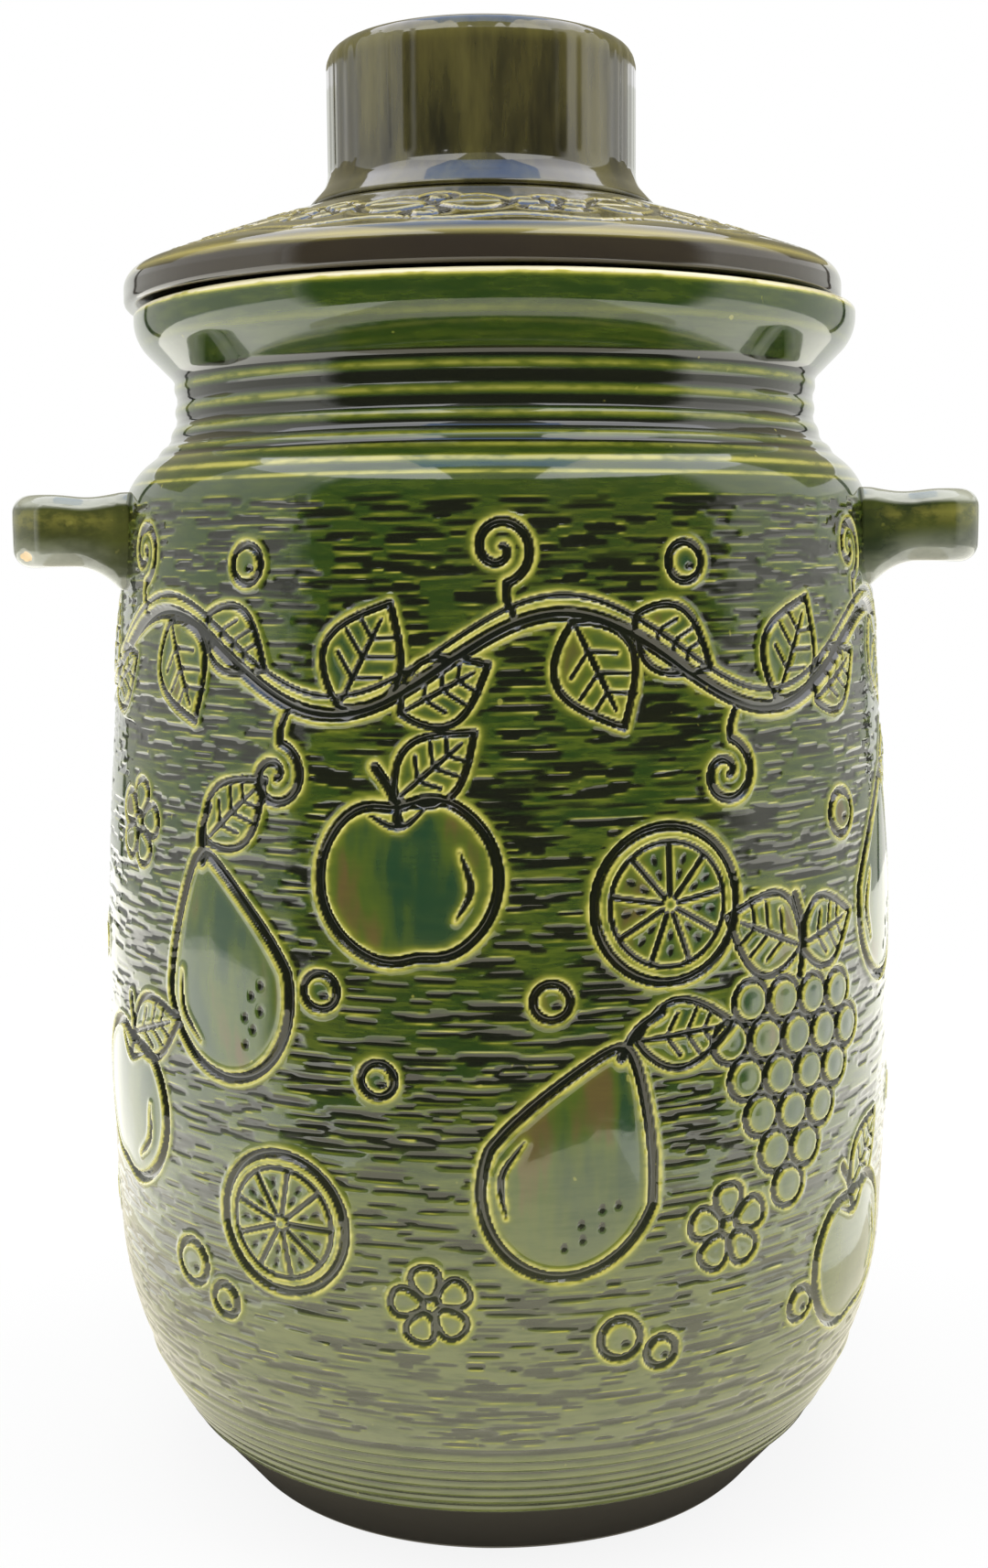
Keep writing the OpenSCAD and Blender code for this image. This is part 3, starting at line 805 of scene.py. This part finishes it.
def make_knob():
    """The hollow knob, its wall faintly uneven as the glaze ran down it."""
    dome_z = KNOB_TOP_Z - KNOB_DOME
    skin = outline([
        (CROWN_R, LAND_Z, 0), (LAND_R - 0.6, LAND_Z, 0), (LAND_R, LAND_Z + 0.5, 0), (KNOB_R, LAND_Z + 6, 6.5),
        (KNOB_R, dome_z, KNOB_ROUND_R), (0.5, KNOB_TOP_Z, 0)], 0.5)
    core = outline([
        (0.5, KNOB_TOP_Z - KNOB_WALL, 0), (CROWN_R, dome_z - KNOB_WALL, 3), (CROWN_R, LAND_Z, 0)], 1.5)
    skin, core = resample(skin, 0.8), resample(core, 2.5)
    radius, z = skin.T
    around = AROUND // 2
    rows = spun(skin, around)
    turn = np.linspace(0, 2 * math.pi, around, endpoint=False)[None, :]
    drawn = 0.07 * np.sin(turn * 31 + 2.1) * np.sin(turn * 7) + 0.05 * np.sin(turn * 53) - 0.12
    upright = np.clip((radius - KNOB_R + 1.5) / 1.5, 0, 1) * (z > LAND_Z + 8)
    rows[:, :, 0] += upright[:, None] * drawn
    inner = spun(core, around)
    edged = np.maximum(0.45 * band(z, KNOB_TOP_Z - 4.5, 2.6), 0.3 * band(z, LAND_Z + 1.0, 1.4))
    marks = {"edge": np.vstack([spun(edged, around), np.zeros(inner.shape[:2])])}
    return lathe("stoneware_knob", np.vstack([rows, inner]), around, -LID_SHIFT, marks, closed=True)


def strap_section(width, top, low):
    """Closed section of the strap with well rounded edges, as (across, height)."""
    round_r = min(STRAP_ROUND_R, width / 2 - 0.2)
    across, level = width / 2 - round_r, (top - low) / 2 - round_r
    points = []
    for k in range(STRAP_POINTS):
        a = 2 * math.pi * (k + 0.5) / STRAP_POINTS
        x = round_r * math.cos(a) + math.copysign(across, math.cos(a))
        z = round_r * math.sin(a) + math.copysign(level, math.sin(a))
        points.append((x, (top + low) / 2 + z))
    return np.array(points)


def handle_path():
    """Middle line of the strap seen from above, from the root in front to the root behind."""
    leg_y = HANDLE_HALF_W - STRAP_T / 2
    bend_x = HANDLE_REACH - BEND_R
    bend_y = HANDLE_HALF_W - BEND_R
    mid = BEND_R - STRAP_T / 2
    half = [(x, -leg_y) for x in np.linspace(ROOT_X, bend_x, 26)]
    for a in np.linspace(0, math.pi / 2, 16)[1:]:
        half.append((bend_x + mid * math.sin(a), -bend_y - mid * math.cos(a)))
    for y in np.linspace(-bend_y, 0, 12)[1:]:
        half.append((bend_x + mid + 0.5 * math.cos(math.pi * y / (2 * bend_y)), y))
    return np.array(half + [(x, -y) for x, y in half[-2::-1]])


def chip_depth(x, y, z):
    """How deep a point lies in the chip: 1 at its middle, 0 outside it."""
    far = math.hypot(x - CHIP_AT[0], 0.6 * (y - CHIP_AT[1]), 1.6 * (z - CHIP_AT[2])) / CHIP_R
    return max(0.0, 1 - far ** 2)


def make_handle(name, side):
    """A strap loop with flared roots; side is -1 for the left one, which is chipped, and 1 for the right."""
    path = handle_path()
    verts = []
    marks = {"edge": [], "pale": [], "chip": []}
    for p, q in zip(path, normals(path)):
        clear = math.hypot(*p) - HANDLE_WALL_R
        flare = math.exp(-clear / 2.6) if clear > 0 else 1.0
        droop = ROOT_DROP * max(0.0, 1 - max(clear, 0) / 11.0) ** 2.2
        tip = 0.9 * max(0.0, (clear - 12) / 12) ** 2
        top = STRAP_TOP_Z - 0.7 * band(clear, 7, 5) + 0.4 * flare
        low = STRAP_LOW_Z - droop - tip + 0.9
        section = strap_section(STRAP_T + 2.0 * flare, top, low)
        for across, z in section:
            x, y = side * (p[0] + q[0] * across), p[1] + q[1] * across
            chip = chip_depth(x, y, z) if side < 0 else 0.0
            deep = CHIP_DEPTH * min(1.0, chip * 1.8)
            verts.append(((x + 0.6 * deep) * MM, (y + 0.3 * deep) * MM, (z + 0.7 * deep) * MM))
            below_top, above_low = section[:, 1].max() - z, z - section[:, 1].min()
            marks["edge"].append(band(below_top, 4.8, 1.2) * (1 - 0.6 * flare))
            # Painted reflection: the pale mark along the strap's top and underside stands for bright
            # surroundings mirrored there
            marks["pale"].append(max(below(below_top, 2.9, 3), 0.7 * below(above_low, 4.2, 2)))
            marks["chip"].append(min(1.0, chip * 2.2))
    faces = []
    for i in range(len(path) - 1):
        a, b = i * STRAP_POINTS, (i + 1) * STRAP_POINTS
        for j in range(STRAP_POINTS):
            k = (j + 1) % STRAP_POINTS
            faces.append((a + j, b + j, b + k, a + k))
    last = (len(path) - 1) * STRAP_POINTS
    faces += [list(range(STRAP_POINTS)), list(range(last, last + STRAP_POINTS))[::-1]]
    mesh = plain_mesh(name, verts, faces)
    write_marks(mesh, marks)
    obj = add_object(name, mesh)
    work = bmesh.new()
    work.from_mesh(mesh)
    bmesh.ops.recalc_face_normals(work, faces=work.faces)
    work.to_mesh(mesh)
    work.free()
    shade_smooth(obj)
    finer = obj.modifiers.new("finer", "SUBSURF")
    finer.levels = finer.render_levels = 1
    return obj


# Materials

class Nodes:
    """The nodes of one material or world, with short calls for those used here."""

    def __init__(self, owner):
        owner.use_nodes = True
        self.tree = owner.node_tree
        self.tree.nodes.clear()

    def add(self, kind):
        return self.tree.nodes.new(kind)

    def feed(self, socket, value):
        """Link a socket to another one, or give it a constant."""
        if hasattr(value, "is_linked"):
            self.tree.links.new(value, socket)
        elif socket.type == "RGBA":
            socket.default_value = (*value, 1)
        else:
            socket.default_value = value

    def feed_all(self, node, values):
        for key, value in values.items():
            self.feed(node.inputs[key], value)

    def mark(self, name):
        """A mark that the mesh carries as a float attribute."""
        node = self.add("ShaderNodeAttribute")
        node.attribute_name = name
        return node.outputs["Fac"]

    def place(self):
        """Coordinates of the surface in metres."""
        return self.add("ShaderNodeTexCoord").outputs["Object"]

    def along(self, axis):
        """One coordinate of the surface in metres."""
        parts = self.add("ShaderNodeSeparateXYZ")
        self.feed(parts.inputs[0], self.place())
        return parts.outputs[axis]

    def noise(self, scale, stretch=(1, 1, 1), detail=4.0, rough=0.55):
        mapping = self.add("ShaderNodeMapping")
        self.feed_all(mapping, {"Vector": self.place(), "Scale": stretch})
        node = self.add("ShaderNodeTexNoise")
        self.feed_all(node, {"Vector": mapping.outputs[0], "Scale": scale, "Detail": detail,
                             "Roughness": rough})
        return node.outputs["Fac"]

    def ramp(self, value, low, high, out_low=0.0, out_high=1.0):
        """A smooth step of the value, from out_low at low to out_high at high."""
        node = self.add("ShaderNodeMapRange")
        node.interpolation_type = "SMOOTHSTEP"
        self.feed_all(node, {"Value": value, "From Min": low, "From Max": high,
                             "To Min": out_low, "To Max": out_high})
        return node.outputs[0]

    def blend(self, factor, first, second):
        """A colour between the first and the second."""
        node = self.add("ShaderNodeMix")
        node.data_type = "RGBA"
        self.feed_all(node, {0: factor, 6: first, 7: second})
        return node.outputs[2]

    def calc(self, kind, first, second):
        node = self.add("ShaderNodeMath")
        node.operation = kind
        self.feed_all(node, {0: first, 1: second})
        return node.outputs[0]

    def times(self, first, second):
        return self.calc("MULTIPLY", first, second)

    def glow(self, kind, colour, strength=1.0):
        """A light shader of the kind, Emission or Background."""
        node = self.add(kind)
        self.feed_all(node, {0: colour, 1: strength})
        return node.outputs[0]

    def either(self, factor, first, second):
        """A shader mixed of the first and the second."""
        node = self.add("ShaderNodeMixShader")
        self.feed_all(node, {0: factor, 1: first, 2: second})
        return node.outputs[0]

    def seen(self):
        """1 where the camera sees the surface, directly or in the glaze, and 0 where it only gives light."""
        path = self.add("ShaderNodeLightPath").outputs
        return self.calc("MAXIMUM", self.calc("MAXIMUM", path["Is Camera Ray"], path["Is Glossy Ray"]),
                         path["Is Transmission Ray"])


def new_material(name):
    """An empty material with its nodes and the socket for its surface."""
    material = bpy.data.materials.new(name)
    nodes = Nodes(material)
    return material, nodes, nodes.add("ShaderNodeOutputMaterial").inputs["Surface"]


def new_glaze(name, bump_scale, bump_strength):
    """A clear coat, slightly uneven, over coloured clay: the material, its nodes and the shader's inputs."""
    material, nodes, surface = new_material(name)
    shader = nodes.add("ShaderNodeBsdfPrincipled")
    nodes.feed(surface, shader.outputs[0])
    uneven = nodes.noise(bump_scale, (1, 1, 1), 3.0)
    bump = nodes.add("ShaderNodeBump")
    nodes.feed_all(bump, {"Strength": bump_strength, "Distance": BUMP_DISTANCE, "Height": uneven})
    nodes.feed_all(shader, {
        "IOR": GLAZE_IOR, "Coat Weight": 1.0, "Coat Roughness": COAT_ROUGHNESS, "Coat IOR": COAT_IOR,
        "Roughness": nodes.ramp(uneven, 0.3, 0.8, 0.07, 0.16), "Normal": bump.outputs[0]})
    return material, nodes, shader.inputs


def body_glaze():
    """Green glaze over relief: dark where it pooled, yellow-green where it ran thin, painted paler low down
    as painted light of the white table.
    """
    material, nodes, skin = new_glaze("green_glaze", 90, 0.25)
    streak = nodes.noise(85, (1, 1, 6), 5.0, 0.6)
    cloud = nodes.noise(11, (1, 1, 1.4), 3.0)
    fleck = nodes.noise(160, (1, 1, 2.5), 2.0)
    upright = nodes.noise(105, (1, 1, 0.28), 3.0)
    grain = nodes.noise(170, (1, 1, 7), 2.0)
    height = nodes.along("Z")
    green = nodes.blend(nodes.ramp(streak, 0.38, 0.66), GREEN_DEEP, GREEN_MID)
    green = nodes.blend(nodes.ramp(cloud, 0.48, 0.70, 0.0, 0.6), green, GREEN_OLIVE)
    green = nodes.blend(nodes.ramp(grain, 0.50, 0.38, 0.0, 0.6), green, GREEN_DEEP)
    green = nodes.blend(nodes.ramp(height, *DARK_Z, 0.0, 0.45), green, GREEN_DEEP)
    glassy = nodes.blend(nodes.ramp(upright, 0.40, 0.60), GREEN_COLD, GREEN_CLEAR)
    glassy = nodes.blend(nodes.ramp(upright, 0.56, 0.70), glassy, GREEN_BROWN)
    green = nodes.blend(nodes.ramp(nodes.mark("smooth"), 0.3, 1.0, 0.0, 0.85), green, glassy)
    # Painted light: the lower wall and its pooled glaze are painted paler where the white table lights them
    painted_table_light = nodes.times(nodes.ramp(height, *PAINTED_TABLE_LIGHT_Z), nodes.ramp(streak, 0.25, 0.6, 0.5, 1.0))
    green = nodes.blend(nodes.times(painted_table_light, 0.75), green, GREEN_PAINTED_LIGHT)
    edge = nodes.times(nodes.mark("edge"), nodes.ramp(fleck, 0.25, 0.6, 0.6, 1.0))
    colour = nodes.blend(nodes.ramp(edge, 0.02, 0.55, 0.0, 0.8), green, EDGE_GREEN)
    colour = nodes.blend(nodes.ramp(edge, 0.32, 0.88, 0.0, 0.95), colour, THIN_GLAZE)
    colour = nodes.blend(nodes.ramp(edge, 0.80, 1.15), colour, CREAM)
    pooled = nodes.blend(nodes.times(painted_table_light, 0.8), POOLED, POOLED_PAINTED_LIGHT)
    colour = nodes.blend(nodes.ramp(nodes.mark("pool"), 0.05, 0.60, 0.0, 0.95), colour, pooled)
    spot = nodes.ramp(nodes.noise(330, (1, 1, 1), 1.0), 0.77, 0.82, 0.0, 0.35)
    colour = nodes.blend(spot, colour, THIN_GLAZE)
    colour = nodes.blend(nodes.ramp(nodes.mark("inner"), 0.2, 0.9, 0.0, 0.85), colour, GREEN_INSIDE)
    foot = nodes.mark("foot")
    nodes.feed(skin["Base Color"], nodes.blend(nodes.ramp(foot, 0.3, 0.8), colour, FOOT_BROWN))
    glossy = skin["Roughness"].links[0].from_socket
    nodes.feed(skin["Roughness"], nodes.calc("MAXIMUM", glossy, nodes.ramp(foot, 0.3, 0.8, 0.0, 0.55)))
    nodes.feed(skin["Coat Weight"], nodes.ramp(foot, 0.3, 0.8, 1.0, 0.0))
    return material


def lid_glaze():
    """Olive brown glaze of the lid, dark brown round its rim."""
    material, nodes, skin = new_glaze("lid_glaze", 80, 0.2)
    streak = nodes.noise(30, (1, 1, 3), 4.0)
    base = nodes.blend(nodes.ramp(streak, 0.35, 0.68), LID_DARK, LID_OLIVE)
    colour = nodes.blend(nodes.ramp(nodes.mark("edge"), 0.05, 0.9, 0.0, 0.85), base, LID_THIN)
    colour = nodes.blend(nodes.ramp(nodes.mark("pool"), 0.1, 0.8, 0.0, 0.9), colour, LID_POOL)
    colour = nodes.blend(nodes.ramp(nodes.mark("rim"), 0.25, 0.75, 0.0, 0.95), colour, LID_BAND)
    nodes.feed(skin["Base Color"], colour)
    return material


def knob_glaze():
    """Olive glaze that ran down the knob in fine upright streaks."""
    material, nodes, skin = new_glaze("knob_glaze", 70, 0.2)
    run = nodes.noise(95, (1, 1, 0.16), 5.0, 0.65)
    patch = nodes.noise(22, (1, 1, 0.5), 3.0)
    base = nodes.blend(nodes.ramp(run, 0.34, 0.68), KNOB_DARK, KNOB_OLIVE)
    base = nodes.blend(nodes.ramp(patch, 0.45, 0.75, 0.0, 0.5), base, KNOB_BROWN)
    edge = nodes.ramp(nodes.mark("edge"), 0.05, 0.9, 0.0, 0.8)
    nodes.feed(skin["Base Color"], nodes.blend(edge, base, KNOB_THIN))
    return material


def handle_glaze():
    """Dark green glaze of the handles, thin and yellow along their edges, with painted pale reflections along
    their top and underside, and bare clay in the chip.
    """
    material, nodes, skin = new_glaze("handle_glaze", 90, 0.2)
    cloud = nodes.noise(60, (1, 1, 2), 4.0)
    base = nodes.blend(nodes.ramp(cloud, 0.35, 0.68), HANDLE_DARK, HANDLE_GREEN)
    fleck = nodes.ramp(nodes.noise(260, (1, 1, 1), 2.0), 0.66, 0.74, 0.0, 0.25)
    base = nodes.blend(fleck, base, THIN_GLAZE)
    # Painted highlight: the left handle is painted lighter towards its outer end, where bright light falls on
    # it
    base = nodes.blend(nodes.ramp(nodes.along("X"), -0.02, -0.05, 0.0, 0.12), base, HANDLE_THIN)
    ragged = nodes.ramp(nodes.noise(260, (1, 1, 1.6), 3.0), 0.3, 0.6, 0.4, 1.0)
    edge = nodes.ramp(nodes.times(nodes.mark("edge"), ragged), 0.10, 0.85, 0.0, 0.75)
    colour = nodes.blend(edge, base, HANDLE_THIN)
    # Painted reflection: pale bands on top of and under the straps
    pale = nodes.times(nodes.mark("pale"), nodes.ramp(cloud, 0.2, 0.6, 0.6, 1.0))
    colour = nodes.blend(nodes.ramp(pale, 0.2, 1.0), colour, HANDLE_PAINTED_SHEEN)
    broken = nodes.ramp(nodes.noise(420, (1, 1, 1), 2.0), 0.3, 0.7, 0.5, 1.5)
    chip = nodes.ramp(nodes.times(nodes.mark("chip"), broken), 0.40, 0.55)
    nodes.feed(skin["Base Color"], nodes.blend(chip, colour, CLAY))
    nodes.feed(skin["Coat Weight"], nodes.calc("SUBTRACT", 1.0, chip))
    return material


def glow_material(name, colour, fading=False):
    """A plain glow; where it fades, the mesh's mark solid says how far."""
    material, nodes, surface = new_material(name)
    glow = nodes.glow("ShaderNodeEmission", colour)
    if fading:
        clear = nodes.add("ShaderNodeBsdfTransparent").outputs[0]
        glow = nodes.either(nodes.mark("solid"), clear, glow)
    nodes.feed(surface, glow)
    return material


def floor_material():
    """A pale matt floor that keeps the pot's shadow and turns white further away."""
    material, nodes, surface = new_material("floor_white")
    matt = nodes.add("ShaderNodeBsdfDiffuse")
    nodes.feed(matt.inputs[0], FLOOR_COLOUR)
    away = nodes.add("ShaderNodeVectorMath")
    away.operation = "LENGTH"
    nodes.feed(away.inputs[0], nodes.place())
    white = nodes.times(nodes.seen(), nodes.ramp(away.outputs["Value"], *FLOOR_FADE, FLOOR_SHOWN, 1.0))
    nodes.feed(surface, nodes.either(white, matt.outputs[0], nodes.glow("ShaderNodeEmission", (1, 1, 1))))
    return material


# Stage and light

def glaze_only(name, mesh, colour, fading=False):
    """A glowing object that the glaze mirrors; the camera and the matt surfaces don't see it."""
    obj = add_object(name, mesh)
    mesh.materials.append(glow_material(name, colour, fading))
    obj.visible_camera = False
    obj.visible_diffuse = False
    obj.visible_transmission = False
    obj.visible_shadow = False


def card(name, azimuth, half_width, radius, low, high, colour, soft=0.0):
    """A curved upright card round the pot, whose side edges fade over soft degrees.

    Its azimuth is 0 in front and positive to the right."""
    steps = 48
    verts, solid = [], []
    for k in range(steps + 1):
        share = 2 * k / steps - 1
        a = math.radians(azimuth + half_width * share)
        x, y = radius * math.sin(a), -radius * math.cos(a)
        verts += [(x, y, low), (x, y, high)]
        solid += [min(1.0, half_width * (1 - abs(share)) / soft) if soft else 1.0] * 2
    faces = [(2 * k, 2 * k + 2, 2 * k + 3, 2 * k + 1) for k in range(steps)]
    mesh = plain_mesh(name, verts, faces)
    write_marks(mesh, {"solid": solid})
    glaze_only(name, mesh, colour, bool(soft))


def level_mesh(name, low, high, z):
    """A level rectangle from one corner to the other."""
    corners = [(low[0], low[1], z), (high[0], low[1], z), (high[0], high[1], z), (low[0], high[1], z)]
    return plain_mesh(name, corners, [(0, 1, 2, 3)])


def sheet(name, low, high, z, colour):
    """A level sheet on the table or under the ceiling."""
    glaze_only(name, level_mesh(name, low, high, z), colour)


def disc(name, radius, z, colour):
    """A level round sheet under the pot."""
    turns = [2 * math.pi * k / 64 for k in range(64)]
    points = [(radius * math.cos(t), radius * math.sin(t), z) for t in turns]
    glaze_only(name, plain_mesh(name, points, [tuple(range(64))]), colour)


def reflections():
    """What the glaze mirrors: a pale room with a window on either side in front, over a light table."""
    card("grey_left", -97.5, 37.5, 1.0, 0, 0.44, (0.50, 0.50, 0.47))
    card("grey_right", 97.5, 37.5, 1.0, 0, 0.44, (0.58, 0.58, 0.54))
    card("pale_left", -97.5, 37.5, 1.0, 0.44, 1.2, (0.62, 0.62, 0.60))
    card("pale_right", 97.5, 37.5, 1.0, 0.44, 1.2, (0.85, 0.84, 0.80))
    card("back_pale", 180, 44.4, 1.0, 0, 0.55, (0.80, 0.81, 0.76))
    card("back_shade", 180, 70, 0.98, 0.56, 1.3, (0.30, 0.28, 0.20))
    card("dark_front", 4, 64, 0.41, 0.0012, 0.58, (0.020, 0.024, 0.026), 9.0)
    for side, way in (("left", -1), ("right", 1)):
        card("dark_line_" + side, way * 135.6, 1.6, 0.99, 0, 1.2, (0.02, 0.02, 0.02))
    sheet("warm_table", (-0.9, -0.9), (0.9, 0.9), TABLE_Z, (0.96, 0.91, 0.74))
    sheet("side_table_left", (-0.9, -0.9), (-0.20, 0.9), SIDE_TABLE_Z, (1.6, 1.58, 1.45))
    sheet("side_table_right", (0.20, -0.9), (0.9, 0.9), SIDE_TABLE_Z, (1.45, 1.43, 1.30))
    sheet("window_left", (-1.2, -1.35), (-0.26, -0.50), CEILING_Z, (2.1, 2.1, 2.1))
    sheet("window_right", (0.26, -1.35), (1.2, -0.50), CEILING_Z, (2.1, 2.1, 2.1))
    sheet("window_post", (-0.26, -1.35), (0.26, -0.50), CEILING_Z, (0.30, 0.32, 0.28))
    sheet("cool_ceiling", (-0.32, -0.50), (0.32, 0.6), CEILING_Z, (0.48, 0.70, 1.25))
    sheet("bright_ceiling_left", (-1.2, -0.50), (-0.32, 1.1), CEILING_Z, (1.6, 1.6, 1.7))
    sheet("bright_ceiling_right", (0.32, -0.50), (1.2, 1.1), CEILING_Z, (1.6, 1.6, 1.7))
    disc("contact_shade", 0.084, SHADE_Z, (0.10, 0.095, 0.08))


def floor():
    mesh = level_mesh("floor", (-FLOOR_HALF, -FLOOR_HALF), (FLOOR_HALF, FLOOR_HALF), 0)
    mesh.materials.append(floor_material())
    obj = add_object("floor", mesh)
    obj.location.z = GROUND_Z


def world():
    """White surroundings to the camera and in the glaze, and soft light on the object."""
    studio = bpy.data.worlds.new("studio")
    bpy.context.scene.world = studio
    nodes = Nodes(studio)
    light = nodes.glow("ShaderNodeBackground", (0.96, 0.98, 1.0), WORLD_LIGHT)
    white = nodes.glow("ShaderNodeBackground", (1, 1, 1))
    out = nodes.add("ShaderNodeOutputWorld")
    nodes.feed(out.inputs["Surface"], nodes.either(nodes.seen(), light, white))


def lamp(name, place, aim, size, power):
    """A soft lamp that lights the object; what the glaze mirrors are the cards and the white surroundings."""
    data = bpy.data.lights.new(name, "AREA")
    data.shape = "RECTANGLE"
    data.size, data.size_y = size
    data.energy = power
    obj = add_object(name, data)
    obj.location = place
    obj.rotation_euler = (Vector(aim) - Vector(place)).to_track_quat("-Z", "Y").to_euler()
    obj.visible_camera = False
    obj.visible_glossy = False


def lamps():
    for side, way in (("left", -1), ("right", 1)):
        lamp(side + "_panel", (way * 1.3, -0.1, 0.7), (0, 0, 0.16), (1.5, 1.7), PANEL_W)
    lamp("top_panel", (0, -0.1, 1.7), (0, 0, 0.1), (1.2, 1.2), TOP_W)
    lamp("front_fill", (0, -1.9, 1.1), (0, 0, 0.15), (1.2, 1.2), FRONT_W)


def camera():
    data = bpy.data.cameras.new("camera")
    data.sensor_fit = "AUTO"
    data.sensor_width = SENSOR_MM
    data.lens = SENSOR_MM * FOCAL_PX / FRAME_H_PX
    data.clip_start, data.clip_end = 0.01, 50
    obj = add_object("camera", data)
    obj.matrix_world = (Matrix.Translation((CAMERA_X, -CAMERA_AWAY, CAMERA_Z))
                        @ Matrix.Rotation(math.radians(90 - CAMERA_DOWN_DEG), 4, "X")
                        @ Matrix.Rotation(math.radians(CAMERA_ROLL_DEG), 4, "Z"))
    bpy.context.scene.camera = obj


def dress(piece, body, node, material):
    """Give a piece its material, attach it to the body that carries it, and hide the solid it stands for."""
    piece.data.materials.append(material)
    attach(piece, body)
    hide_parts(node)


def main():
    pot = make_pot()
    lid = make_lid()
    knob = make_knob()
    left = make_handle("ear_left", -1)
    right = make_handle("ear_right", 1)
    ears = handle_glaze()
    dress(pot, "pot", "pot_body", body_glaze())
    dress(lid, "lid_body", "lid", lid_glaze())
    dress(knob, "lid_body", "lid_knob", knob_glaze())
    dress(left, "pot", "handle_left", ears)
    dress(right, "pot", "handle_right", ears)
    floor()
    world()
    lamps()
    reflections()
    camera()
    bpy.context.scene.view_settings.view_transform = "Standard"


main()
